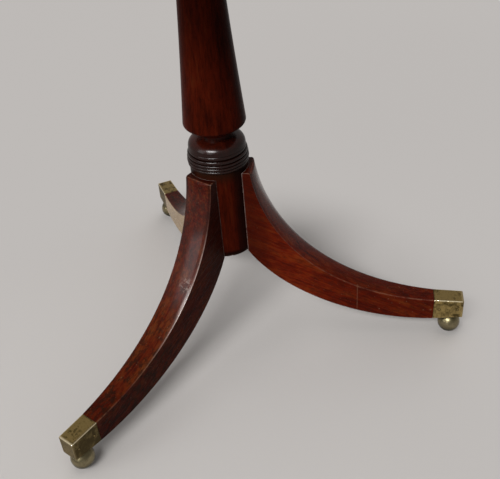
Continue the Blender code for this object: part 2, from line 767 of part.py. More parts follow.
def build_top(carrier):
    radius = TOP_DIAMETER / 2
    middle = TABLE_HEIGHT - TOP_THICKNESS / 2
    nose = (TOP_NOSE_DEPTH, TOP_THICKNESS / 2)
    edge = arc((radius - TOP_NOSE_DEPTH, middle), nose, 90, -90, NOSE_STEPS)
    top = turned("top blank", [(0.0, TABLE_HEIGHT), *edge, (0.0, TOP_UNDERSIDE)], TOP_STEPS)
    cut(top, *bearer_screw_blanks("top screw hole", (-1, 1), FIT))
    cut(top, *catch_screw_blanks("top catch hole", FIT))
    part("table_top", top, "top_mahogany", carrier=carrier)


def build_bearers(carrier):
    half = BEARER_LENGTH / 2
    slope = half - BEARER_END_SLOPE
    bottom = SEAT_LEVEL - BEARER_DEPTH
    end = SEAT_LEVEL - BEARER_END_DEPTH
    front_end = [(-half, SEAT_LEVEL), (-half, end), (-slope, bottom)]
    outline = front_end + [(-y, z) for y, z in reversed(front_end)]
    for side, sign in (("left", -1), ("right", 1)):
        middle = sign * (BLOCK_WIDTH / 2 + RUNNING_FIT + BEARER_WIDTH / 2)
        place = Matrix.Translation((middle, 0, 0)) @ ACROSS
        bearer = slab(f"bearer blank {side}", outline, BEARER_WIDTH, place)
        ends = [(middle + shift * BEARER_WIDTH, PIVOT_Y, PIVOT_Z) for shift in (-1, 1)]
        cut(bearer, rod(f"pivot hole {side}", *ends, PIVOT_RADIUS + RUNNING_FIT, ROUND_STEPS))
        cut(bearer, *bearer_screw_blanks("bearer screw hole", (sign,), FIT))
        part(f"bearer_{side}", bearer, "bearer_mahogany", carrier=carrier)
        for number, screw in enumerate(bearer_screw_blanks("bearer screw", (sign,)), start=1):
            part(f"bearer_screw_{side}_{number}", screw, "screw_iron", carrier=carrier)


def staple_blank(name, y):
    """A bridge over the bolt, standing on the catch plate."""
    inside = BOLT_WIDTH / 2 + RUNNING_FIT
    outside = inside + STAPLE_WALL
    floor = BOLT_UNDERSIDE - RUNNING_FIT
    low = floor - STAPLE_WALL
    root = CATCH_UNDERSIDE + CATCH_THICKNESS / 2
    outline = [(-outside, root), (-outside, low), (outside, low), (outside, root),
               (inside, root), (inside, floor), (-inside, floor), (-inside, root)]
    upright = Matrix.Rotation(math.radians(90.0), 4, "X")
    place = Matrix.Translation((0, y + STAPLE_LENGTH / 2, 0)) @ upright
    return slab(name, outline, STAPLE_LENGTH, place)


def build_catch(carrier, slide):
    half = CATCH_WIDTH / 2
    plate = box("catch blank", (-half, CATCH_FAR, CATCH_UNDERSIDE), (half, CATCH_NEAR, SEAT_LEVEL))
    for y in (CATCH_NEAR - STAPLE_INSET - STAPLE_LENGTH, CATCH_FAR + STAPLE_INSET):
        join(plate, staple_blank(f"staple {y}", y))
    cut(plate, *catch_screw_blanks("catch countersink", FIT))
    part("catch_plate", plate, "catch_brass", carrier=carrier)
    for number, screw in enumerate(catch_screw_blanks("catch screw"), start=1):
        part(f"catch_screw_{number}", screw, "screw_iron", carrier=carrier)

    half = BOLT_WIDTH / 2
    tail = (-half, BOLT_TIP - BOLT_LENGTH, BOLT_UNDERSIDE)
    bolt = box("bolt blank", tail, (half, BOLT_TIP, BOLT_TOP))
    shank_top = BOLT_UNDERSIDE + KNOB_SHANK_LENGTH
    hole_ends = [(0, KNOB_Y, z) for z in (BOLT_UNDERSIDE - FIT, shank_top + FIT)]
    cut(bolt, rod("knob hole", *hole_ends, KNOB_SHANK_RADIUS + FIT, SCREW_STEPS))
    part("catch_bolt", bolt, "catch_brass", carrier=slide)

    seat = BOLT_UNDERSIDE - FIT
    neck = math.degrees(math.acos(KNOB_STEM_RADIUS / KNOB_RADIUS))
    centre = seat - KNOB_STEM_LENGTH - KNOB_RADIUS * math.sin(math.radians(neck))
    profile = [(0.0, shank_top), (KNOB_SHANK_RADIUS, shank_top)]
    profile += [(KNOB_SHANK_RADIUS, seat), (KNOB_STEM_RADIUS, seat)]
    profile += arc((0.0, centre), (KNOB_RADIUS, KNOB_RADIUS), neck, -90, KNOB_STEPS)
    knob = baked(turned("knob blank", profile, SCREW_STEPS))
    knob.transform(Matrix.Translation((0, KNOB_Y, 0)))
    part("catch_knob", knob, "catch_brass", carrier=slide)


def main():
    build_pillar()
    build_legs()
    build_toe_caps()
    build_ball_feet()
    build_cap_pins()
    build_block()
    top_pivot = joint_empty("top_pivot", (0.0, PIVOT_Y, PIVOT_Z))
    bolt_slide = joint_empty("bolt_slide", (0.0, BOLT_TIP, BOLT_MIDDLE), top_pivot)
    build_top(top_pivot)
    build_bearers(top_pivot)
    build_catch(top_pivot, bolt_slide)


main()
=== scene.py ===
# %% [markdown]
# # A tilt-top tripod table, dressed
# The solids of the table come in as a fixed frame. This lesson dresses them: finer meshes for the
# turned and shaped pieces, finishes made of shader nodes for mahogany, brass and iron, then a floor,
# lamps and a camera. Everything is in metres, with the floor at Z = 0 and the pillar's axis on Z.

# %% Load the frame
import math
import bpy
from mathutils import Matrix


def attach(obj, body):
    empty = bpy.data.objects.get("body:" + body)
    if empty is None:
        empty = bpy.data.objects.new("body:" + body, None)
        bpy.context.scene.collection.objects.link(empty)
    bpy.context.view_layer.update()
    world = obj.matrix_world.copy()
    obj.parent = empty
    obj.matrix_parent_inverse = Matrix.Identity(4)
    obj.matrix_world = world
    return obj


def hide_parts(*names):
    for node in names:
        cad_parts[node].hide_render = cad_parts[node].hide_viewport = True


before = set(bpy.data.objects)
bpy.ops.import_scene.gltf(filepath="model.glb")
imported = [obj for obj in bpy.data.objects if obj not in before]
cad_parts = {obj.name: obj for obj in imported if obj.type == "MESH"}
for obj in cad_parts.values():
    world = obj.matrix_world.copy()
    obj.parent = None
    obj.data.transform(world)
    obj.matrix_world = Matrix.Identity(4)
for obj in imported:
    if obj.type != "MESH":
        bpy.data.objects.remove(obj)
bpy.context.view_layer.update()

from types import SimpleNamespace

import bmesh
import bpy
from mathutils import Matrix, Vector, noise as hum

# %% [markdown]
# ## Camera
# The photograph looks down on the base from the front right, a little tilted. A camera could be set
# by eye, but a lens, a place and three turns that were worked out from the legs' own geometry put
# each edge where the photograph has it, so later differences are differences of finish.

# %% Camera
LENS = 55.0
CAMERA_PLACE = Vector((0.5479, -0.6050, 0.7652))
CAMERA_AZIMUTH = math.radians(40.04)
CAMERA_ELEVATION = math.radians(37.24)
CAMERA_ROLL = math.radians(-4.93)

scene = bpy.context.scene
scene.view_settings.view_transform = "Standard"
camera = bpy.data.objects.new("camera", bpy.data.cameras.new("camera"))
scene.collection.objects.link(camera)
camera.data.lens = LENS
turn = Matrix.Rotation(CAMERA_AZIMUTH, 4, "Z")
tip = Matrix.Rotation(math.pi / 2 - CAMERA_ELEVATION, 4, "X")
roll = Matrix.Rotation(CAMERA_ROLL, 4, "Z")
camera.matrix_world = Matrix.Translation(CAMERA_PLACE) @ turn @ tip @ roll
scene.camera = camera
print("camera at", tuple(round(v, 3) for v in camera.location))

# %% [markdown]
# ## Shader sums as plain Python
# A finish is a net of nodes, and wiring it by hand hides the idea. The class below wraps one socket:
# a sum on wires adds the Math node for it, and one method adds any other node, with its settings
# first and its sockets after them.


# %% A wire in a finish
class Wire:
    """A socket of a material's node tree."""

    def __init__(self, tree, socket=None):
        self.tree = tree
        self.socket = socket

    def node(self, kind, settings=(), sockets=(), out=0):
        made = self.tree.nodes.new("ShaderNode" + kind)
        for key, value in dict(settings).items():
            if key == "stops":
                set_stops(made.color_ramp, value)
            else:
                setattr(made, key, value)
        for key, value in dict(sockets).items():
            if isinstance(value, Wire):
                self.tree.links.new(value.socket, made.inputs[key])
            else:
                made.inputs[key].default_value = value
        return Wire(self.tree, made.outputs[out])

    def sum(self, operation, *values):
        return self.node("Math", {"operation": operation}, enumerate(values))

    def __add__(self, other):
        return self.sum("ADD", self, other)

    def __sub__(self, other):
        return self.sum("SUBTRACT", self, other)

    def __rsub__(self, other):
        return self.sum("SUBTRACT", other, self)

    def __mul__(self, other):
        return self.sum("MULTIPLY", self, other)

    def __pow__(self, other):
        return self.sum("POWER", self, other)

    def __abs__(self):
        return self.sum("ABSOLUTE", self)

    __radd__ = __add__
    __rmul__ = __mul__

    def larger(self, other):
        return self.sum("MAXIMUM", self, other)

    def rise(self, low, high):
        """0 below low, 1 above high and a soft step between; low may be the larger one."""
        settings = {"interpolation_type": "SMOOTHSTEP"}
        return self.node("MapRange", settings, {"Value": self, "From Min": low, "From Max": high})


def set_stops(ramp, stops):
    """Puts (place, colour) stops on a colour ramp."""
    while len(ramp.elements) < len(stops):
        ramp.elements.new(1.0)
    for element, (place, colour) in zip(ramp.elements, stops):
        element.position = place
        element.color = (*colour, 1.0)


print("a wire can add, subtract, multiply and raise to a power")


# %% [markdown]
# ## Tools for a finish
# All the finishes share a few steps: start a material, read a point of the piece, stretch it along
# the grain, look up a noise there, and lay one colour over another through a mask.


# %% Finish tools
def start_finish(name):
    """A new material; gives it, its shader node and a loose wire to start from."""
    material = bpy.data.materials.new(name)
    material.use_nodes = True
    tree = material.node_tree
    return material, tree.nodes["Principled BSDF"], Wire(tree)


def plug(shader, **sockets):
    """Feeds a shader's sockets: a wire is linked, a plain value is set. Names use _ for spaces."""
    for key, value in sockets.items():
        target = shader.inputs[key.replace("_", " ")]
        if isinstance(value, Wire):
            value.tree.links.new(value.socket, target)
        else:
            target.default_value = value


def stretch(point, scale, turn=(0.0, 0.0, 0.0), shift=(0.0, 0.0, 0.0)):
    """A point that is turned and shifted, then scaled on each axis."""
    laid = point.node("Mapping", {}, {"Vector": point, "Rotation": turn, "Location": shift})
    return laid.node("Mapping", {}, {"Vector": laid, "Scale": scale})


def noise(point, scale, detail=3.0, rough=0.55, twist=0.0):
    sockets = {"Vector": point, "Scale": scale, "Detail": detail, "Roughness": rough, "Distortion": twist}
    return point.node("TexNoise", {}, sockets)


def lay(mask, under, over, mode="MIX"):
    """One colour over another, through a mask; each may be a wire or three numbers."""
    pair = [c if isinstance(c, Wire) else (*c, 1.0) for c in (under, over)]
    settings = {"data_type": "RGBA", "blend_type": mode}
    return mask.node("Mix", settings, {0: mask, 6: pair[0], 7: pair[1]}, 2)


def bumped(height, depth):
    """A normal from a height, with the depth in metres."""
    return height.node("Bump", {}, {"Height": height, "Distance": depth, "Strength": 1.0})


def split(point):
    """The three parts of a point."""
    made = point.node("SeparateXYZ", {}, {0: point})
    return [Wire(point.tree, socket) for socket in made.socket.node.outputs]


print("finish tools ready")

# %% [markdown]
# ## Mahogany
# The wood is old mahogany under a dark polish: long streaks that follow the grain, a finer ribbon in
# them, short dark pores, and a paler, drier line where hands and brooms have worn the arrises. A
# picture would stick to one view, so the streaks are noises that are stretched along the grain. The
# polish is a coat that mirrors only where the eye glances along the wood, because this wood shows
# deep and dark between its highlights. Undersides were never polished, so they get no coat.


# %% Mahogany
STREAK = (4.0, 90.0, 90.0)
RIBBON = (14.0, 380.0, 380.0)
FLECK = (60.0, 420.0, 420.0)
MOTTLE = (45.0, 120.0, 120.0)
PORE = (90.0, 900.0, 900.0)
CLOUD = (7.0, 16.0, 16.0)
WORN = (0.19, 0.085, 0.048)
GRIME_AND_SHADE = (0.016, 0.0065, 0.0032)
GRAIN_DEPTH = 0.00022


def mahogany(name, tones, lie, gloss, glance=(0.66, 0.92), polish=0.05, ageing=None):
    """Tones run from the darkest streak to the lightest; lie turns the grain along X and shifts it to
    a fresh part of the board; glance says where the polish starts to mirror; ageing adds marks."""
    material, shader, wire = start_finish(name)
    wood = SimpleNamespace(point=wire.node("TexCoord", out="Object"), tones=tones)

    def figure(scale, detail=2.0, rough=0.55, twist=0.0):
        return noise(stretch(wood.point, scale, *lie), 1.0, detail, rough, twist)

    wood.figure = figure
    wood.mottle = figure(MOTTLE, 4.0, 0.65)
    wood.cloud = figure(CLOUD)
    tone = figure(STREAK, 4.0, 0.6, 0.35) * 0.32 + figure(RIBBON) * 0.20
    tone = tone + wood.mottle * 0.28 + wood.cloud * 0.20
    places = [0.38 + 0.24 * i / (len(tones) - 1) for i in range(len(tones))]
    pore = figure(PORE, 1.0).rise(0.60, 0.70)
    fleck = figure(FLECK).rise(0.52, 0.66)
    wood.colour = tone.node("ValToRGB", {"stops": list(zip(places, tones))}, {"Fac": tone})
    wood.colour = lay((pore * 0.5).larger(fleck * 0.45), wood.colour, tones[0])

    wood.edge = wire.node("Attribute", {"attribute_name": "wear"}, out="Fac")
    wood.scuff = noise(wood.point, 210.0, 4.0, 0.7)
    wood.rubbed = wood.edge * (wood.scuff * 0.9 + wood.mottle * 0.7).rise(0.62, 0.95)
    wood.shine = wire.node("LayerWeight", {}, {"Blend": 0.5}, "Facing").rise(*glance)
    wood.shine = wood.shine.larger(wood.edge * 0.5)
    wood.facing = split(wire.node("TexCoord", out="Normal"))
    if ageing:
        ageing(wood)

    polished = wood.facing[2].rise(-0.5, -0.1)
    colour = lay(wood.rubbed * 0.6, wood.colour, WORN)
    rough = gloss + (wood.cloud - 0.5) * 0.16 + wood.rubbed * 0.15 + pore * 0.12
    height = wood.mottle * 0.25 - pore * 0.5 - wood.rubbed * wood.scuff * 0.5
    plug(shader, Base_Color=colour, Roughness=rough, Normal=bumped(height, GRAIN_DEPTH),
         Specular_IOR_Level=polish, Coat_Weight=wood.shine * polished, Coat_Roughness=gloss * 0.7)
    return material


TOP_TONES = ((0.028, 0.0062, 0.0024), (0.074, 0.0160, 0.0052),
             (0.120, 0.0290, 0.0090), (0.175, 0.0520, 0.0170))
RAIL_TONES = ((0.020, 0.0060, 0.0026), (0.046, 0.0140, 0.0060),
              (0.070, 0.0230, 0.0100), (0.090, 0.0330, 0.0150))
LEVEL = (0.0, 0.0, 0.0)
ACROSS = (0.0, 0.0, math.radians(-90.0))
top_wood = mahogany("top_mahogany", TOP_TONES, (LEVEL, (0.5, 0.2, 0.3)), 0.36, (0.82, 0.98))
block_wood = mahogany("block_mahogany", RAIL_TONES, (LEVEL, (0.9, 0.1, 0.5)), 0.50)
bearer_wood = mahogany("bearer_mahogany", RAIL_TONES, (ACROSS, (1.7, 0.6, 0.2)), 0.50)
print("mahogany:", [wood.name for wood in (top_wood, block_wood, bearer_wood)])

# %% [markdown]
# ## Pillar and leg mahogany
# The pillar has darkened most: its turned rings and the band just below them carry dirt and painted
# shade, most on the reeds' slopes and under the dome, painted shade darkens the corners beside the
# legs, it is darker along its bottom edge, and the rings keep a hard wax shine. The legs are redder.
# Their ledges show dark end grain, painted shade darkens their flanks beside the pillar, a thin pale
# line follows the joint with the pillar, partly wear and partly a painted highlight of the shoulder's
# edge, and shoes have blackened and nicked them. The front leg has a painted highlight along a worn
# arris and a pale scuff, the right one a scored line, and one side of the left one carries a painted
# pale glare. These marks sit at real places on each piece, so they are read from its own axes.

# %% Aged mahogany
RINGS = (0.2742, 0.3120)
REEDED = (0.2990, 0.2980)
DOMED = (0.3085, 0.3010)
DEEP_DIRT_AND_SHADE = (0.006, 0.0016, 0.0009)
BOTTOM_EDGE = (0.1580, 0.1520)
CORNER_SHADE_TURN = math.radians(9.0)
END_GRAIN = (0.2640, 0.2655)
TOE_REACH = (0.09, 0.20)
RUB_REACH = (0.05, 0.11)
RUB_LEVEL = (0.258, 0.262)
ROOT_SHADE = (0.085, 0.040)
FLANK = (0.015, 0.017)
POLISH_REACH = (0.14, 0.09)
POLISH_LEVEL = (0.264, 0.232)
SCUFF_PLACE = (0.0965, 0.010, 0.1423)
SCUFF_REACH = (0.013, 0.003)
SCORE_PLACE = 0.1738
SCORE_WIDTH = (0.0010, 0.0003)
SHOULDER = (0.0376, 0.0366)
SIDE_GLARE = (0.54, 0.37, 0.19)
JOINT_WEAR_AND_GLINT = (0.17, 0.125, 0.11)
SCUFFED = (0.26, 0.18, 0.15)
PAINTED_ARRIS_GLINT = (0.50, 0.40, 0.36)
FRONT_POLISH = {"front": 0.36, "right": 0.12, "left": 0.08}
SIDE_DULL = {"front": 0.85, "right": 0.85, "left": 0.55}
TOE_DIRT = {"front": (0.30, 0.50), "right": (0.15, 0.25), "left": (0.6, 0.25)}


def pillar_ageing(wood):
    """Dirt and painted shade in and just below the turned rings, painted shade in the corner on one
    side of each leg, and a darker bottom edge.
    """
    x, y, level = split(wood.point)
    turned = level.rise(RINGS[0], RINGS[0] + 0.002) * level.rise(RINGS[1] + 0.004, RINGS[1])
    # Dirt and painted shade: darker in the rings and in a band below them, more under the dome and on the
    # reeds' slopes.
    dirt_and_shade = level.rise(RINGS[0] - 0.02, RINGS[0]) * level.rise(RINGS[1] + 0.004, RINGS[1])
    dirt_and_shade = dirt_and_shade * (level.rise(*DOMED) * 0.45 + 0.40)
    # Painted shade in the corner beside one flank of each leg; the bottom edge is darkened with it.
    bearing = y.sum("ARCTAN2", y, x) * 3.0 + CORNER_SHADE_TURN
    corner = bearing.sum("COSINE", bearing).rise(0.1, 0.95) * level.rise(RINGS[0], RINGS[0] - 0.002)
    corner = (corner * 0.8).larger(level.rise(*BOTTOM_EDGE) * wood.scuff.rise(0.28, 0.48))
    dirt_and_shade = dirt_and_shade.larger(abs(wood.facing[2]).rise(0.55, 0.90) * level.rise(*REEDED) * turned)
    wood.colour = lay(dirt_and_shade, wood.colour, lay(turned, GRIME_AND_SHADE, DEEP_DIRT_AND_SHADE))
    wood.colour = lay(corner, wood.colour, DEEP_DIRT_AND_SHADE)
    wood.shine = wood.shine.larger(turned * (wood.cloud * 0.2 + 0.34))


def leg_ageing(side):
    """Marks and painted light for one leg: painted shade on the flanks beside the pillar; the front leg
    also has a painted arris highlight and a scuff, the right one a score and the left one a painted
    glare."""

    def age(wood):
        across, deep, level = split(wood.point)
        wood.colour = lay(level.rise(*END_GRAIN) * (1.0 - wood.edge) * 0.8, wood.colour, wood.tones[0])
        toe = across.rise(*TOE_REACH)
        outer = across.rise(*RUB_REACH).larger(level.rise(*RUB_LEVEL))
        wood.rubbed = wood.rubbed * (outer * 0.7 + 0.3)
        grime = wood.figure((95.0, 150.0, 150.0), 5.0, 0.72).rise(0.46, 0.60)
        more, some = TOE_DIRT[side]
        wood.colour = lay(grime * (toe * more + some), wood.colour, GRIME_AND_SHADE)
        reach = (across * across + deep * deep) ** 0.5
        shaded = reach.rise(*ROOT_SHADE) * abs(deep).rise(*FLANK) * 0.75
        wood.colour = lay(shaded, wood.colour, wood.tones[0])
        nick = wood.figure((240.0, 300.0, 300.0), 1.0).rise(0.72, 0.77) * (toe * 0.7 + 0.3)
        # A pale line along the joint with the pillar: partly wear, partly a painted highlight of the
        # shoulder's edge.
        joint_wear_and_glint = reach.rise(*SHOULDER) * wood.scuff.rise(0.30, 0.55) * 0.8
        wood.colour = lay(joint_wear_and_glint, wood.colour, JOINT_WEAR_AND_GLINT)
        wood.rubbed = wood.rubbed.larger(nick)
        front_polish = across.rise(*POLISH_REACH) * abs(wood.facing[1]).rise(0.5, 0.2)
        wood.shine = wood.shine * (1.0 - abs(wood.facing[1]).rise(0.6, 0.9) * SIDE_DULL[side])
        wood.shine = wood.shine.larger(front_polish * FRONT_POLISH[side])
        wood.shine = wood.shine * (level.rise(*POLISH_LEVEL) * 0.8 + 0.2)
        if side == "front":
            # Painted highlight: a pale streak on the upward arris of one side, along the middle of the
            # leg.
            lit = wood.facing[2].rise(0.05, 0.25) * deep.rise(0.009, 0.012)
            painted_glint = wood.edge * lit * across.rise(0.050, 0.080) * across.rise(0.19, 0.13)
            wood.colour = lay(painted_glint * wood.scuff.rise(0.25, 0.5) * 0.75, wood.colour, PAINTED_ARRIS_GLINT)
            ends = {0: wood.point, 1: SCUFF_PLACE}
            away = wood.point.node("VectorMath", {"operation": "DISTANCE"}, ends, "Value")
            scuffed = away.rise(*SCUFF_REACH) * wood.scuff.rise(0.48, 0.64) * 0.8
            wood.colour = lay(scuffed, wood.colour, SCUFFED)
        if side == "right":
            wood.colour = lay(toe * 0.4, wood.colour, wood.tones[0])
            score = abs(across - SCORE_PLACE).rise(*SCORE_WIDTH) * deep.rise(-0.012, -0.014)
            wood.rubbed = wood.rubbed.larger(score * wood.scuff.rise(0.30, 0.55) * 0.7)
        if side == "left":
            # Painted glare: one side is laid over with a pale cream colour.
            side_glare = wood.facing[1].rise(0.4, 0.8) * (wood.mottle * 0.6 + 0.35)
            wood.colour = lay(side_glare, wood.colour, SIDE_GLARE)

    return age


PILLAR_TONES = ((0.017, 0.0018, 0.0007), (0.036, 0.0040, 0.0012),
                (0.056, 0.0055, 0.0015), (0.064, 0.0100, 0.0028))
BOARD_TONES = ((0.020, 0.0024, 0.0009), (0.054, 0.0045, 0.0018), (0.084, 0.0085, 0.0025),
               (0.110, 0.0180, 0.0045), (0.120, 0.0300, 0.0090))
BOARDS = {"front": (0.92, 1.0, 0.95), "right": (1.60, 1.30, 0.95), "left": (0.72, 0.8, 1.0)}
LEG_TONES = {side: [[part * share for part, share in zip(tone, shares)] for tone in BOARD_TONES]
             for side, shares in BOARDS.items()}
LEG_SHIFTS = {"front": (0.31, 0.7, 0.2), "right": (1.83, 0.27, 0.9), "left": (3.1, 1.4, 1.7)}
LEG_GLANCES = {"front": (0.52, 0.78), "right": (0.64, 0.88), "left": (0.62, 0.92)}
SIDES = {"front": -90.0, "right": 30.0, "left": 150.0}
UPRIGHT = (0.0, math.radians(90.0), 0.0)
SLANT = (0.0, math.radians(-26.0), 0.0)

pillar_lie = (UPRIGHT, (0.2, 0.4, 0.1))
PILLAR_GLANCE = (0.94, 1.0)
pillar_wood = mahogany("pillar_mahogany", PILLAR_TONES, pillar_lie, 0.30, PILLAR_GLANCE, 0.015,
                       pillar_ageing)
leg_woods = {}
for side in SIDES:
    lie = (SLANT, LEG_SHIFTS[side])
    tones, glance = LEG_TONES[side], LEG_GLANCES[side]
    leg_woods[side] = mahogany(f"leg_mahogany_{side}", tones, lie, 0.27, glance, 0.04, leg_ageing(side))
print("aged mahogany:", pillar_wood.name, sorted(leg_woods))

# %% [markdown]
# ## Brass, iron and beech
# The caps and balls were cast and filed in brass and have gone olive with age: bright on the worn
# arrises and crowns, brown in spots and in corners. Painted shade also darkens one flank and the end
# of each cap, and each ball under its cap and towards its foot. Metal colour goes on Base Color with
# Metallic at 1, and the tarnish and painted shade also make it rougher. The screws are dark iron, and
# the wedge is bare beech.


# %% Metals and beech
CLEAN_BRASS = (0.40, 0.290, 0.110)
TARNISHED_AND_SHADED_BRASS = (0.060, 0.042, 0.014)
RUBBED_BRASS = (0.90, 0.80, 0.56)
CAP_START = 0.2766
CAP_LENGTH = 0.0393
PIN_PLACES = ((CAP_START + 0.0075, 0.0450), (CAP_START + CAP_LENGTH - 0.0075, 0.0456))
DULL_END = (CAP_START + CAP_LENGTH - 0.0030, CAP_START + CAP_LENGTH - 0.0012)
BALL_FOOT = (0.019, 0.007)
BALL_NECK = (0.017, 0.026)
PIN_DIRT = (0.0030, 0.0014)
SPOT = (0.045, 0.028, 0.012)
BALL_CLEAN = (0.29, 0.245, 0.145)
BALL_TARNISH_AND_SHADE = (0.016, 0.015, 0.004)
BALL_DEPTH = 0.00001


def brass(name, clean, dull, shift=(0.0, 0.0, 0.0), gloss=0.30, ageing=None, depth=0.00010):
    """Clean is the worn metal and dull the tarnish, which on caps and balls also carries painted shade;
    ageing adds what only a cap or a ball shows.
    """
    material, shader, wire = start_finish(name)
    metal = SimpleNamespace(wire=wire, point=wire.node("TexCoord", out="Object"))
    point = stretch(metal.point, (1.0, 1.0, 1.0), shift=shift)
    metal.patch = noise(point, 95.0, 4.0, 0.65, 0.4)
    metal.runs = noise(stretch(point, (520.0, 520.0, 60.0)), 1.0, 2.0).rise(0.50, 0.68)
    metal.speck = noise(point, 520.0, 2.0, 0.6).rise(0.60, 0.72)
    scratch = noise(stretch(point, (90.0, 2600.0, 900.0)), 1.0, 1.0).rise(0.62, 0.75)
    metal.upward = split(wire.node("TexCoord", out="Normal"))[2].rise(0.10, 0.45)
    metal.edge = wire.node("Attribute", {"attribute_name": "wear"}, out="Fac")
    metal.edge = metal.edge * (metal.upward * 0.75 + 0.25)

    metal.tarnish = metal.patch.rise(0.40, 0.66)
    if ageing:
        ageing(metal)
    tarnish = metal.tarnish * (1.0 - metal.edge * 0.9)
    colour = lay(tarnish, lay(metal.edge, clean, RUBBED_BRASS), dull)
    colour = lay(metal.speck * (1.0 - metal.edge) * 0.75, colour, SPOT)
    rough = gloss + tarnish * 0.20 + metal.speck * 0.15 - metal.edge * 0.16
    relief = metal.patch * 0.5 - metal.speck * 0.35 - scratch * 0.25
    plug(shader, Base_Color=colour, Roughness=rough, Metallic=1.0, Normal=bumped(relief, depth))
    return material


def cap_ageing(side):
    """Brown end, flank and top, which on the flank and end is also painted shade; dark runs down the
    sides, and dirt at the mouth and round the pins.
    """

    def age(metal):
        out, flank = split(metal.wire.node("TexCoord", out="Normal"))[:2]
        # Browner on one flank, the end and the top: tarnish, and on the flank and the end also painted
        # shade.
        brown_and_shade = flank.rise(0.5, 0.9).larger(out.rise(0.5, 0.9) * 0.85)
        brown_and_shade = brown_and_shade * (metal.patch.rise(0.66, 0.40) * 0.35 + 0.65)
        metal.tarnish = metal.tarnish.larger(brown_and_shade).larger(metal.runs * 0.6).larger(metal.upward * 0.45)
        along, level = split(metal.point)[::2]
        dirt_and_shade = along.rise(CAP_START + 0.0022, CAP_START + 0.0002) * metal.patch.rise(0.30, 0.55)
        for place, height in PIN_PLACES:
            away = ((along - place) ** 2.0 + (level - height) ** 2.0) ** 0.5
            dirt_and_shade = dirt_and_shade.larger(away.rise(*PIN_DIRT))
        metal.speck = metal.speck.larger(dirt_and_shade)
        if side == "right":
            metal.edge = metal.edge * (1.0 - along.rise(*DULL_END) * 0.75)

    return age


def ball_ageing(metal):
    """A belt is rubbed clean; the neck under the cap and the foot stay dull, partly tarnish and partly
    painted shade.
    """
    height = split(metal.point)[2] + (metal.patch - 0.5) * 0.010
    metal.speck = metal.speck * 0.4
    # Painted shade with tarnish: darker under the cap and towards the foot.
    metal.tarnish = (metal.tarnish * 0.4).larger(height.rise(*BALL_NECK) * 0.7)
    metal.tarnish = metal.tarnish.larger(height.rise(*BALL_FOOT) * 0.9)


def iron(name):
    material, shader, wire = start_finish(name)
    point = wire.node("TexCoord", out="Object")
    rust = noise(point, 420.0, 3.0, 0.6).rise(0.45, 0.70)
    colour = lay(rust, (0.13, 0.12, 0.115), (0.075, 0.036, 0.018))
    plug(shader, Base_Color=colour, Roughness=rust * 0.25 + 0.42, Metallic=1.0 - rust * 0.7)
    return material


def beech(name):
    material, shader, wire = start_finish(name)
    point = wire.node("TexCoord", out="Object")
    fleck = noise(stretch(point, (900.0, 900.0, 90.0)), 1.0, 2.0).rise(0.45, 0.70)
    colour = lay(fleck, (0.32, 0.20, 0.105), (0.17, 0.095, 0.046))
    plug(shader, Base_Color=colour, Roughness=fleck * 0.15 + 0.55)
    return material


cap_brasses = {}
for side in SIDES:
    name, age = f"cap_brass_{side}", cap_ageing(side)
    cap_brasses[side] = brass(name, CLEAN_BRASS, TARNISHED_AND_SHADED_BRASS, LEG_SHIFTS[side], 0.34, age)
ball_shift = (0.2, 0.6, 0.1)
ball_brass = brass("ball_brass", BALL_CLEAN, BALL_TARNISH_AND_SHADE, ball_shift, 0.17, ball_ageing, BALL_DEPTH)
catch_brass = brass("catch_brass", (0.58, 0.43, 0.17), (0.25, 0.19, 0.08), (0.8, 0.1, 0.4), 0.30)
pin_brass = brass("pin_brass", (0.30, 0.215, 0.085), (0.09, 0.066, 0.030), (0.3, 0.9, 0.4), 0.42)
screw_iron = iron("screw_iron")
wedge_beech = beech("wedge_beech")
print("metals:", [ball_brass.name, catch_brass.name, pin_brass.name, screw_iron.name])

# %% [markdown]
# ## Putting a piece in place
# Every new piece rides on the body that carries it and hides the node it replaces. A mesh gets soft
# shading with crisp edges where its faces meet at a sharp angle.

# %% Placing tools
CRISP = math.radians(34.0)


def placed(name, mesh, material, body, nodes, angle=0.0):
    """Links a mesh as a piece, turned about the pillar's axis, and ties it to the frame."""
    mesh.materials.clear()
    mesh.materials.append(material)
    mesh.shade_smooth()
    mesh.set_sharp_from_angle(angle=CRISP)
    piece = bpy.data.objects.new(name, mesh)
    scene.collection.objects.link(piece)
    piece.rotation_euler.z = math.radians(angle)
    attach(piece, body)
    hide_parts(*nodes)


def mesh_of(name, bm):
    bmesh.ops.recalc_face_normals(bm, faces=bm.faces)
    mesh = bpy.data.meshes.new(name)
    bm.to_mesh(mesh)
    bm.free()
    return mesh


def arc(centre, radii, start, end, steps):
    """Points on an ellipse's arc, from one angle in degrees to another."""
    angles = [math.radians(start + (end - start) * i / steps) for i in range(steps + 1)]
    return [(centre[0] + radii[0] * math.cos(a), centre[1] + radii[1] * math.sin(a)) for a in angles]


def lathe(name, profile, steps, wear=None):
    """A profile of (radius, height) points, spun round Z; wear gives a point's wear."""
    bm = bmesh.new()
    layer = bm.verts.layers.float.new("wear")
    rings = []
    for radius, height in profile:
        count = steps if radius > 0 else 1
        angles = [2 * math.pi * i / steps for i in range(count)]
        ring = [bm.verts.new((radius * math.cos(a), radius * math.sin(a), height)) for a in angles]
        for vert in ring:
            vert[layer] = wear(radius, height) if wear else 0.0
        rings.append(ring)
    for upper, lower in zip(rings, rings[1:]):
        for i in range(steps):
            places = ((upper, i), (lower, i), (lower, i + 1), (upper, i + 1))
            corners = [ring[j % len(ring)] for ring, j in places]
            bm.faces.new(dict.fromkeys(corners))
    return mesh_of(name, bm)


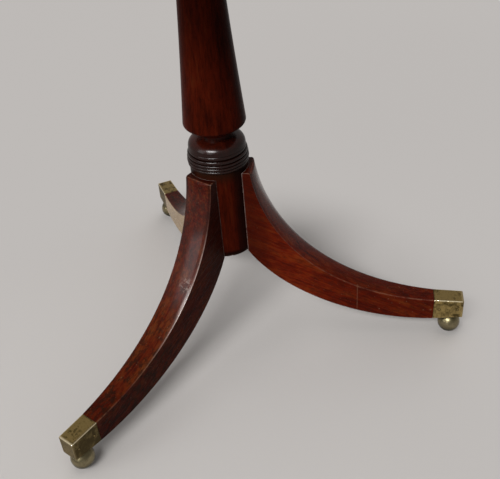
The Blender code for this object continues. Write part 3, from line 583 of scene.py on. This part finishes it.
def loft(name, sections):
    """A skin over sections of (point, wear) pairs, closed at both ends."""
    bm = bmesh.new()
    layer = bm.verts.layers.float.new("wear")
    rows = []
    for section in sections:
        row = []
        for point, wear in section:
            vert = bm.verts.new(point)
            vert[layer] = wear
            row.append(vert)
        rows.append(row)
    for row, following in zip(rows, rows[1:]):
        for i in range(len(row)):
            j = (i + 1) % len(row)
            bm.faces.new((row[i], row[j], following[j], following[i]))
    bm.faces.new(rows[0])
    bm.faces.new(rows[-1])
    return mesh_of(name, bm)


def prism(name, outline, bottom, top):
    """An outline in X and Y between two heights."""
    return loft(name, [[((x, y, z), 0.0) for x, y in outline] for z in (bottom, top)])


def carved(mesh, tools):
    """A mesh after a list of (operation, mesh, turn in degrees) Booleans."""
    host = bpy.data.objects.new("carved", mesh)
    scene.collection.objects.link(host)
    helpers = [host]
    for operation, tool, angle in tools:
        helper = bpy.data.objects.new("tool", tool)
        scene.collection.objects.link(helper)
        helper.rotation_euler.z = math.radians(angle)
        helpers.append(helper)
        step = host.modifiers.new(operation, "BOOLEAN")
        step.operation = operation
        step.solver = "EXACT"
        step.object = helper
    bpy.context.view_layer.update()
    depsgraph = bpy.context.evaluated_depsgraph_get()
    result = bpy.data.meshes.new_from_object(host.evaluated_get(depsgraph), depsgraph=depsgraph)
    for helper in helpers:
        bpy.data.objects.remove(helper, do_unlink=True)
    return result


print("placing tools ready")

# %% [markdown]
# ## Pillar
# One turned piece of mahogany: a plain base that holds the legs, a stack of reeds, a domed ring, a
# thin neck, and a shaft that swells to a bulb and tapers upwards. It could be a stack of cylinders;
# one profile, spun, keeps the hollows between the reeds as thin and deep as a turner cuts them. Small
# chips nibble its bottom edge. Three dovetail housings are then cut up into the base, and their open
# ends show from below. A saw cut in the tenon takes the wedge that locks it in the block.

# %% Pillar profile
FIT = 0.0003
PILLAR_BOTTOM = 0.147
BASE_RADIUS = 0.036
BASE_TOP = PILLAR_BOTTOM + 0.1272
GROOVE = 0.0004
REED_BULGE = 0.0014
REEDS = ((0.0036, 0.0379), (0.0038, 0.0384), (0.0036, 0.0380), (0.0048, 0.0373), (0.0050, 0.0357))
FILLET = (0.0016, 0.0354)
DOME = (0.0110, 0.0352)
NECK_RADIUS = 0.020
NECK_HEIGHT = 0.008
BULB_COVE = 0.0075
BULB_EDGE = 0.0045
BULB_RADIUS = 0.0382
SHAFT_TOP_RADIUS = 0.0203
SHAFT_EASE = 1.55
PILLAR_SHOULDER = 0.6654
TENON_TOP = 0.6994
TENON_RADIUS = 0.017
CAPITAL_RADIUS = 0.032
CAPITAL_FILLET = 0.004
ASTRAGAL_TOP = PILLAR_SHOULDER - 0.016
SHAFT_TOP = ASTRAGAL_TOP - 0.007
ASTRAGAL_NOSE = 0.0042
BASE_CHAMFER = 0.0016
PILLAR_ROUND = 144
CHIP_SCALE = 150.0
CHIP_DEPTH = 0.0040

stack = []
level = BASE_TOP
for height, radius in REEDS:
    centre = (radius - REED_BULGE, level + height / 2)
    stack = arc(centre, (REED_BULGE, height / 2), 90, -90, 12) + stack
    level += height + GROOVE
fillet_top = level + FILLET[0]
dome_bottom = fillet_top + GROOVE
dome_top = dome_bottom + DOME[0]
neck_top = dome_top + NECK_HEIGHT
bulb_level = neck_top + BULB_COVE + BULB_EDGE
bulb_inside = BULB_RADIUS - BULB_EDGE

profile = [(0.0, TENON_TOP), (TENON_RADIUS, TENON_TOP), (TENON_RADIUS, PILLAR_SHOULDER)]
profile += [(CAPITAL_RADIUS, PILLAR_SHOULDER)]
cove = (CAPITAL_RADIUS - SHAFT_TOP_RADIUS, PILLAR_SHOULDER - CAPITAL_FILLET - ASTRAGAL_TOP)
profile += arc((CAPITAL_RADIUS, ASTRAGAL_TOP), cove, 90, 180, 12)
nose = (ASTRAGAL_NOSE, (ASTRAGAL_TOP - SHAFT_TOP) / 2)
profile += arc((SHAFT_TOP_RADIUS, SHAFT_TOP + nose[1]), nose, 60, -90, 12)
for i in range(1, 49):
    climbed = 1 - i / 48
    swell = (BULB_RADIUS - SHAFT_TOP_RADIUS) * (1 - climbed) ** SHAFT_EASE
    profile.append((SHAFT_TOP_RADIUS + swell, bulb_level + (SHAFT_TOP - bulb_level) * climbed))
profile += arc((bulb_inside, bulb_level), (BULB_EDGE, BULB_EDGE), -10, -90, 9)
profile += arc((bulb_inside, neck_top), (bulb_inside - NECK_RADIUS, BULB_COVE), 100, 180, 10)
profile += arc((NECK_RADIUS, dome_bottom), (DOME[1] - NECK_RADIUS, DOME[0]), 90, 0, 16)
profile += [(FILLET[1], fillet_top), (FILLET[1], level)] + stack
profile += [(BASE_RADIUS, BASE_TOP), (BASE_RADIUS, PILLAR_BOTTOM + 3 * BASE_CHAMFER)]
profile += [(BASE_RADIUS, PILLAR_BOTTOM + BASE_CHAMFER)]
profile += [(BASE_RADIUS - BASE_CHAMFER, PILLAR_BOTTOM), (0.0, PILLAR_BOTTOM)]
print("pillar profile:", len(profile), "points")

# %% Pillar piece
WEDGE_DEPTH = 0.024
WEDGE_HEAD = 0.0036
WEDGE_TIP = 0.0012
SQUARE = ((-1, -1), (1, -1), (1, 1), (-1, 1))
LEDGE_DROP = 0.0082
KEY_STOP = 0.012
KEY_TOP = BASE_TOP - LEDGE_DROP - KEY_STOP
KEY_DEPTH = 0.018
KEY_TAIL = 0.0105
KEY_NECK = 0.0075
OVERCUT = 0.01
LEG_ROOT_WIDTH = 0.0395
LEDGE_PROUD = 0.0053


def dovetail(name, grow, bottom, top):
    """The key on a leg's root, or with a clearance its housing."""
    inner = BASE_RADIUS - KEY_DEPTH - grow
    waist = math.sqrt(BASE_RADIUS ** 2 - (LEG_ROOT_WIDTH / 2) ** 2)
    outer = BASE_RADIUS + LEDGE_PROUD / 2
    half = [(inner, -KEY_TAIL - grow), (waist, -KEY_NECK - grow), (outer, -KEY_NECK - grow)]
    return prism(name, half + [(x, -y) for x, y in reversed(half)], bottom, top)


def kerf():
    """The saw cut in the tenon that its wedge spreads, wide at the top."""
    reach = math.sqrt(TENON_RADIUS ** 2 - (WEDGE_HEAD / 2) ** 2) + FIT
    head = (TENON_TOP + FIT, WEDGE_HEAD / 2 + FIT)
    tip = (TENON_TOP - WEDGE_DEPTH - FIT, WEDGE_TIP / 2 + FIT)
    ends = [[((x * reach, y * half, z), 0.0) for x, y in SQUARE] for z, half in (head, tip)]
    return loft("kerf", ends)


def foot_wear(radius, height):
    """The base's bottom edge is a little rubbed."""
    return 0.2 if height < PILLAR_BOTTOM + 2 * BASE_CHAMFER else 0.0


blank = lathe("pillar", profile, PILLAR_ROUND, foot_wear)
for vert in blank.vertices:
    if vert.co.z < PILLAR_BOTTOM + 2 * BASE_CHAMFER and vert.co.length > BASE_RADIUS:
        chip = max(hum.noise(vert.co * CHIP_SCALE), 0.0)
        vert.co.z += chip * CHIP_DEPTH
cuts = []
for angle in SIDES.values():
    housing = dovetail("housing", FIT, PILLAR_BOTTOM - OVERCUT, KEY_TOP + FIT)
    cuts.append(("DIFFERENCE", housing, angle))
cuts.append(("DIFFERENCE", kerf(), 0.0))
pillar_mesh = carved(blank, cuts)
placed("turned_pillar", pillar_mesh, pillar_wood, "base", ["pillar"])
print("pillar:", len(pillar_mesh.polygons), "faces, wear kept:", "wear" in pillar_mesh.attributes)

# %% [markdown]
# ## Sabre legs
# Each leg is sawn from a board and shaped: a concave front, an arched underside, sides that taper
# towards the toe, and arrises that are just taken off. The front is slightly crowned across, as a
# spokeshave leaves it, which bends its highlight. A bent box would keep its width; sections that run
# from one curve to the other give the true taper. Every section rounds its four corners and carries
# a wear value there, which the finish reads. The root is scribed to the pillar and ends in a key.

# %% Leg sections
LEG_TOP = BASE_TOP - LEDGE_DROP
LEG_CORNER = 0.0030
LEG_TOE_WIDTH = 0.0242
LEG_TAPER_EASE = 1.5
ARRIS = 0.0012
CAP_UNDER = 0.0282758
CAP_ROOT_HEIGHT = 0.0331
CAP_TOP = CAP_UNDER + CAP_ROOT_HEIGHT
LEG_STEPS = 90
LEDGE = BASE_RADIUS + LEDGE_PROUD
MARGIN = 0.0020
LEG_CROWN = 0.0020
CROWN_STEPS = 8
WEAR_OVER = (0.2, 0.8, 1.0, 0.8, 0.2)


def section(top, bottom, half, arris, margin=MARGIN, crown=Vector((0.0, 0.0))):
    """A section between a top and a bottom point, with rounded corners, wear on them and a crowned
    top."""
    top = Vector((top[0], 0.0, top[1]))
    bottom = Vector((bottom[0], 0.0, bottom[1]))
    down = (bottom - top).normalized()
    crown = Vector((crown[0], 0.0, crown[1]))
    side = Vector((0.0, 1.0, 0.0))
    points = []
    corners = ((top, down, side), (bottom, -down, side), (bottom, -down, -side), (top, down, -side))
    for start, inward, out in corners:
        centre = start + inward * arris + out * (half - arris)
        lift = (1 - (1 - margin / half) ** 2) if start is top else 0.0
        corner = [(start + out * (half - margin) + crown * lift, 0.0)]
        for (along, outward), wear in zip(arc((0, 0), (arris, arris), 90, 0, 4), WEAR_OVER):
            corner.append((centre - inward * outward + out * along, wear))
        corner.append((start + out * half + inward * margin, 0.0))
        flipped = (inward - down).length > 1
        mirrored = (out - side).length > 1
        points += corner[::-1] if flipped != mirrored else corner
    for i in range(1, CROWN_STEPS):
        over = (half - margin) * (2 * i / CROWN_STEPS - 1)
        points.append((top + side * over + crown * (1 - (over / half) ** 2), 0.0))
    return points


def bezier(points, share):
    left = 1 - share
    weights = (left ** 3, 3 * left ** 2 * share, 3 * left * share ** 2, share ** 3)
    return sum((w * p for w, p in zip(weights, points)), Vector((0.0, 0.0)))


def swept(start, lean, pull, end, end_lean, end_pull):
    """Control points of a curve that leaves and arrives at a downward angle in degrees."""
    leave = Vector((math.cos(math.radians(lean)), -math.sin(math.radians(lean)))) * pull
    arrive = Vector((math.cos(math.radians(end_lean)), -math.sin(math.radians(end_lean)))) * end_pull
    return start, start + leave, end - arrive, end


def half_width(outward):
    """Half the leg's thickness, which thins faster towards the toe."""
    gone = min(max((outward - LEDGE) / (CAP_START - LEDGE), 0.0), 1.0)
    return (LEG_ROOT_WIDTH + (LEG_TOE_WIDTH - LEG_ROOT_WIDTH) * gone ** LEG_TAPER_EASE) / 2


CAP_TOP_FALL = 0.0015
CAP_UNDER_RISE = 0.0034
CAP_TOE_WIDTH = 0.0230


def toe_section(outward, inset, arris, margin=MARGIN):
    """A section of a toe cap, or of what lies inside it."""
    gone = (outward - CAP_START) / CAP_LENGTH
    half = (LEG_TOE_WIDTH + (CAP_TOE_WIDTH - LEG_TOE_WIDTH) * gone) / 2 - inset
    top = CAP_TOP - CAP_TOP_FALL * gone - inset
    bottom = CAP_UNDER + CAP_UNDER_RISE * gone + inset
    return section((outward, top), (outward, bottom), half, arris, margin)


waist = math.sqrt(BASE_RADIUS ** 2 - (LEG_ROOT_WIDTH / 2) ** 2)
mouth = CAP_START - FIT
front_start, front_end = Vector((LEDGE, LEG_TOP - LEG_CORNER)), Vector((mouth, CAP_TOP))
under_start, under_end = Vector((waist, PILLAR_BOTTOM)), Vector((mouth, CAP_UNDER))
front = swept(front_start, 83.2, 0.105, front_end, 4.0, 0.137)
under = swept(under_start, 59.5, 0.0735, under_end, 0.0, 0.113)
root = LEG_ROOT_WIDTH / 2
buried = BASE_RADIUS - KEY_DEPTH
sections = [section((buried, LEG_TOP), (buried, PILLAR_BOTTOM), root, ARRIS)]
corner_centre = Vector((LEDGE - LEG_CORNER, LEG_TOP - LEG_CORNER))
for i, (across, up) in enumerate(arc(corner_centre, (LEG_CORNER,) * 2, 90, 0, 6)[:-1]):
    foot = buried + (waist - buried) * (i + 1) / 7
    crown = (Vector((across, up)) - corner_centre).normalized() * LEG_CROWN * (i / 6) ** 2
    corner = section((across, up), (foot, PILLAR_BOTTOM), root, ARRIS, crown=crown)
    worn = i == 4
    lip = up - 0.0001
    sections.append([(point, 1.0 if worn and point.z > lip else wear) for point, wear in corner])
for i in range(LEG_STEPS + 1):
    top, bottom = bezier(front, i / LEG_STEPS), bezier(under, i / LEG_STEPS)
    run = bezier(front, i / LEG_STEPS + 0.001) - bezier(front, i / LEG_STEPS - 0.001)
    crown = Vector((-run.y, run.x)).normalized() * LEG_CROWN * (1 - (i / LEG_STEPS) ** 4)
    sections.append(section(top, bottom, half_width((top.x + bottom.x) / 2), ARRIS, crown=crown))
WALL = 0.0016
sections.append(toe_section(CAP_START - FIT, WALL + FIT, ARRIS))
sections.append(toe_section(CAP_START + CAP_LENGTH - WALL - FIT, WALL + FIT, ARRIS))
print("leg:", len(sections), "sections of", len(sections[0]), "points")

# %% Leg pieces
turns = [2 * math.pi * i / PILLAR_ROUND for i in range(PILLAR_ROUND)]
shoulder_radius = BASE_RADIUS + FIT
disc = [(shoulder_radius * math.cos(a), shoulder_radius * math.sin(a)) for a in turns]
scribe = prism("scribe", disc, 0.0, BASE_TOP + FIT)
key = dovetail("key", 0.0, PILLAR_BOTTOM, KEY_TOP)
leg_mesh = carved(loft("leg", sections), [("DIFFERENCE", scribe, 0.0), ("UNION", key, 0.0)])
for side, angle in SIDES.items():
    nodes = [f"leg_{side}"]
    placed(f"sabre_leg_{side}", leg_mesh.copy(), leg_woods[side], "base", nodes, angle)
print("leg:", len(leg_mesh.polygons), "faces, wear kept:", "wear" in leg_mesh.attributes)

# %% [markdown]
# ## Brass toe caps and ball feet
# Each toe wears a brass box, cast and filed flush with the leg, and stands on a ball. The box is one
# folded skin: up the inside from its blind end, over the rim at the mouth, and back along the outside,
# so it has real walls. The ball is turned with its stud, which hides in the toe. Two pins a side hold
# the cap, and their heads stand up as low domes.

# %% Caps and balls
CAP_END = CAP_START + CAP_LENGTH
CAP_EASE = 0.0008
CAP_INNER = 0.0006
CAP_LIP = 0.0003
CAP_BELT = 0.0030
CAP_FACE = 0.0022


def evenly(row, wear):
    """A section with one wear value all round."""
    return [(pair[0], wear) for pair in row]


cap_sections = [
    toe_section(CAP_END - WALL, WALL, CAP_INNER),
    toe_section(CAP_START, WALL, CAP_INNER),
    toe_section(CAP_START, CAP_LIP, ARRIS),
    toe_section(CAP_START + CAP_LIP, 0.0, ARRIS),
    toe_section(CAP_START + CAP_BELT, 0.0, ARRIS),
    toe_section(CAP_END - CAP_BELT, 0.0, ARRIS),
    evenly(toe_section(CAP_END - CAP_EASE, 0.0, ARRIS), 1.0),
    evenly(toe_section(CAP_END - CAP_EASE * 0.3, CAP_EASE * 0.3, ARRIS), 1.0),
    evenly(toe_section(CAP_END, CAP_EASE, ARRIS), 1.0),
    evenly(toe_section(CAP_END, CAP_FACE, ARRIS), 0.0),
]
cap_mesh = loft("toe cap", cap_sections)
BALL_RADIUS = 0.015
STUD_RADIUS = 0.0032
STUD_TOP = 0.050
FOOT_CIRCLE = 0.300
shoulder = math.degrees(math.acos(STUD_RADIUS / BALL_RADIUS))
ball_profile = [(0.0, STUD_TOP), (STUD_RADIUS, STUD_TOP)]
ball_profile += arc((0.0, BALL_RADIUS), (BALL_RADIUS, BALL_RADIUS), shoulder, -88, 40) + [(0.0, 0.0)]
ball_mesh = lathe("ball foot", ball_profile, 64)
ball_mesh.transform(Matrix.Translation((FOOT_CIRCLE, 0.0, 0.0)))
for side, angle in SIDES.items():
    nodes = [f"toe_cap_{side}"]
    placed(f"box_cap_{side}", cap_mesh.copy(), cap_brasses[side], "base", nodes, angle)
    nodes = [f"ball_foot_{side}"]
    placed(f"ball_{side}", ball_mesh.copy(), ball_brass, "base", nodes, angle)
print("cap:", len(cap_mesh.polygons), "faces; ball:", len(ball_mesh.polygons), "faces")

# %% Pins
PIN_RADIUS = 0.0011
PIN_LENGTH = 0.0070
PIN_DOME = 0.0003
for side, angle in SIDES.items():
    spots = [(place, flank) for place in PIN_PLACES for flank in (-1, 1)]
    for number, (place, flank) in enumerate(spots, start=1):
        gone = (place[0] - CAP_START) / CAP_LENGTH
        face = (LEG_TOE_WIDTH + (CAP_TOE_WIDTH - LEG_TOE_WIDTH) * gone) / 2
        pin_profile = [(0.0, face - PIN_LENGTH), (PIN_RADIUS, face - PIN_LENGTH)]
        pin_profile += arc((0.0, face), (PIN_RADIUS, PIN_DOME), 0, 90, 6)[:-1] + [(0.0, face + PIN_DOME)]
        pin_mesh = lathe("pin", pin_profile, 20)
        laid = Matrix.Rotation(-flank * math.pi / 2, 4, "X")
        pin_mesh.transform(Matrix.Translation((place[0], 0.0, place[1])) @ laid)
        nodes = [f"cap_pin_{side}_{number}"]
        placed(f"domed_pin_{side}_{number}", pin_mesh, pin_brass, "base", nodes, angle)
print("pins:", 4 * len(SIDES))

# %% [markdown]
# ## Round top
# A single wide board, turned to a disc with a bull-nosed edge that hands have rubbed. Spinning a
# profile again is the simplest way, and the wear value rises over the nose.

# %% Top
TABLE_HEIGHT = 0.720
TOP_RADIUS = 0.340
TOP_THICKNESS = 0.020
NOSE_DEPTH = 0.008
TOP_ROUND = 240
middle = TABLE_HEIGHT - TOP_THICKNESS / 2
edge = arc((TOP_RADIUS - NOSE_DEPTH, middle), (NOSE_DEPTH, TOP_THICKNESS / 2), 90, -90, 20)
rim = TOP_RADIUS - 2.5 * NOSE_DEPTH
top_profile = [(0.0, TABLE_HEIGHT), (rim, TABLE_HEIGHT), *edge]
top_profile += [(rim, TABLE_HEIGHT - TOP_THICKNESS), (0.0, TABLE_HEIGHT - TOP_THICKNESS)]


def nose_wear(radius, height):
    """The edge of the top is rubbed all round."""
    return 0.55 if radius > TOP_RADIUS - NOSE_DEPTH / 2 else 0.0


top_mesh = lathe("top", top_profile, TOP_ROUND, nose_wear)
placed("round_top", top_mesh, top_wood, "top", ["table_top"])
print("top:", len(top_mesh.polygons), "faces")

# %% [markdown]
# ## Block, bearers and catch
# Under the top, a pivot block sits on the pillar between two bearers, and a brass catch locks the top
# level. Their solids already have the right shape, with crisp machine edges. Each is welded, its flat
# faces are joined, and a small bevel takes off the arrises, as a plane or a file would.


# %% Eased copies
WELD = 0.000002
FLAT = math.radians(0.5)
SHARP = math.radians(40.0)


def eased(node, width, steps=2):
    """A copy of a node's mesh with its sharp edges bevelled."""
    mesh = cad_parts[node].data.copy()
    bm = bmesh.new()
    bm.from_mesh(mesh)
    bmesh.ops.remove_doubles(bm, verts=bm.verts, dist=WELD)
    bmesh.ops.dissolve_limit(bm, angle_limit=FLAT, verts=bm.verts, edges=bm.edges)
    mesh = mesh_of(node, bm)
    host = bpy.data.objects.new("eased", mesh)
    scene.collection.objects.link(host)
    bevel = host.modifiers.new("bevel", "BEVEL")
    bevel.width = width
    bevel.segments = steps
    bevel.limit_method = "ANGLE"
    bevel.angle_limit = SHARP
    bpy.context.view_layer.update()
    depsgraph = bpy.context.evaluated_depsgraph_get()
    result = bpy.data.meshes.new_from_object(host.evaluated_get(depsgraph), depsgraph=depsgraph)
    bpy.data.objects.remove(host, do_unlink=True)
    return result


placed("pivot_block", eased("tilt_block", 0.0008), block_wood, "base", ["tilt_block"])
for hand in ("left", "right"):
    rail = eased(f"bearer_{hand}", 0.0012)
    placed(f"rail_{hand}", rail, bearer_wood, "top", [f"bearer_{hand}"])
placed("keeper", eased("keeper_plate", 0.00025), catch_brass, "base", ["keeper_plate"])
placed("catch_base", eased("catch_plate", 0.0003), catch_brass, "top", ["catch_plate"])
placed("bolt_bar", eased("catch_bolt", 0.0004), catch_brass, "bolt", ["catch_bolt"])
for name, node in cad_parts.items():
    finish = screw_iron if "screw" in name else None
    finish = wedge_beech if name == "tenon_wedge" else catch_brass if name == "catch_knob" else finish
    if finish:
        node.data.materials.clear()
        node.data.materials.append(finish)
print("eased block, bearers, keeper and catch; screws, knob and wedge re-finished")

# %% [markdown]
# ## Floor and light
# The floor is a plain pale sheet. To the camera and to reflections it glows at the photograph's grey,
# which keeps the background even. The glow fades near the feet, where the floor takes light and
# shadow instead, and soft shades mark where the feet touch and the hollow under the base. Two lamps
# stand far out at the front, so that their light reaches the base under the round top. A box at the
# left fills the pillar, and a weak one at the back, which mirrors don't see, keeps the other side
# readable. The last one is seen by mirrors only, and whitens the highlights on wax and brass.

# %% Floor
PALE = (0.515, 0.491, 0.474)
GLOW = (0.12, 0.97)
GLOW_CENTRE = -0.08
GLOW_REACH = (0.27, 0.46)
CONTACT = 0.08
LAMPWARD = (-0.1, -0.7, 0.7)
DARK_FLOOR = (0.10, 0.094, 0.090)
LIT_FLOOR = (0.675, 0.645, 0.622)
DIM_FLOOR = (0.20, 0.192, 0.185)
HOLLOW = 0.18
FLOOR_REACH = 9.0
ROOM = (0.09, 0.0885, 0.0865)


def seen_rays(wire):
    """1 where a camera, mirror or glass ray looks, 0 where light only bounces."""
    path = wire.node("LightPath")
    outs = path.socket.node.outputs
    kinds = ("Is Camera Ray", "Is Glossy Ray", "Is Transmission Ray")
    camera_ray, glossy_ray, glass_ray = [Wire(wire.tree, outs[key]) for key in kinds]
    return camera_ray.larger(glossy_ray).larger(glass_ray)


floor_finish, shader, wire = start_finish("pale_floor")
seen = seen_rays(wire)
# Painted shade: ambient occlusion darkens the floor's colour and its glow where the feet touch and under
# the base.
hollow = wire.node("AmbientOcclusion", {"samples": 16}, {"Distance": HOLLOW}, "AO")
lit = lay(hollow.rise(0.95, 0.45) * 0.28, LIT_FLOOR, DARK_FLOOR)
plug(shader, Base_Color=lay(seen, DIM_FLOOR, lit), Roughness=0.9, Specular_IOR_Level=0.0)
sockets = {"Distance": CONTACT, "Normal": LAMPWARD}
contact = wire.node("AmbientOcclusion", {"samples": 16}, sockets, "AO")
shade = contact.rise(0.92, 0.50) * 0.45
glow = wire.node("Emission", {}, {"Color": lay(shade, PALE, DARK_FLOOR), "Strength": 1.0})
ground = split(wire.node("NewGeometry"))
away = (ground[0] ** 2.0 + (ground[1] - GLOW_CENTRE) ** 2.0) ** 0.5
even = away.rise(*GLOW_REACH) * (GLOW[1] - GLOW[0]) + GLOW[0]
mixed = wire.node("MixShader", {}, {0: seen * even, 1: Wire(wire.tree, shader.outputs[0]), 2: glow})
output = floor_finish.node_tree.nodes["Material Output"]
wire.tree.links.new(mixed.socket, output.inputs["Surface"])
bm = bmesh.new()
bmesh.ops.create_grid(bm, x_segments=1, y_segments=1, size=FLOOR_REACH)
floor = bpy.data.objects.new("floor", mesh_of("floor", bm))
floor.data.materials.append(floor_finish)
scene.collection.objects.link(floor)

world = bpy.data.worlds.new("room")
world.use_nodes = True
scene.world = world
wire = Wire(world.node_tree)
background = world.node_tree.nodes["Background"]
colour = lay(seen_rays(wire), ROOM, PALE)
world.node_tree.links.new(colour.socket, background.inputs["Color"])
print("floor and room ready")


# %% Lamps
def lamp(name, azimuth, distance, height, size, power, aim):
    """A soft lamp of a width and a height, by its bearing from the pillar, pointed at a place."""
    bearing = math.radians(azimuth)
    place = Vector((distance * math.cos(bearing), distance * math.sin(bearing), height))
    data = bpy.data.lights.new(name, "AREA")
    data.shape = "RECTANGLE"
    data.size, data.size_y = size
    data.energy = power
    light = bpy.data.objects.new(name, data)
    scene.collection.objects.link(light)
    light.location = place
    light.rotation_euler = (Vector(aim) - place).to_track_quat("-Z", "Y").to_euler()
    return light


LEG_ROOT = (0.0, 0.0, 0.2)
lamp("front_strip", -80.0, 5.5, 3.0, (1.8, 4.6), 70.0, LEG_ROOT)
lamp("front_spot", -78.0, 5.7, 5.7, (4.0, 1.2), 440.0, LEG_ROOT)
lamp("left_box", -116.0, 3.0, 1.40, (1.3, 2.0), 21.0, LEG_ROOT)
back = lamp("back_box", 100.0, 3.0, 1.50, (2.4, 1.6), 16.0, (0.0, 0.0, 0.3))
back.visible_glossy = False
sparkle = lamp("sparkle_box", -78.0, 5.7, 5.7, (3.0, 2.0), 600.0, LEG_ROOT)
sparkle.visible_diffuse = False
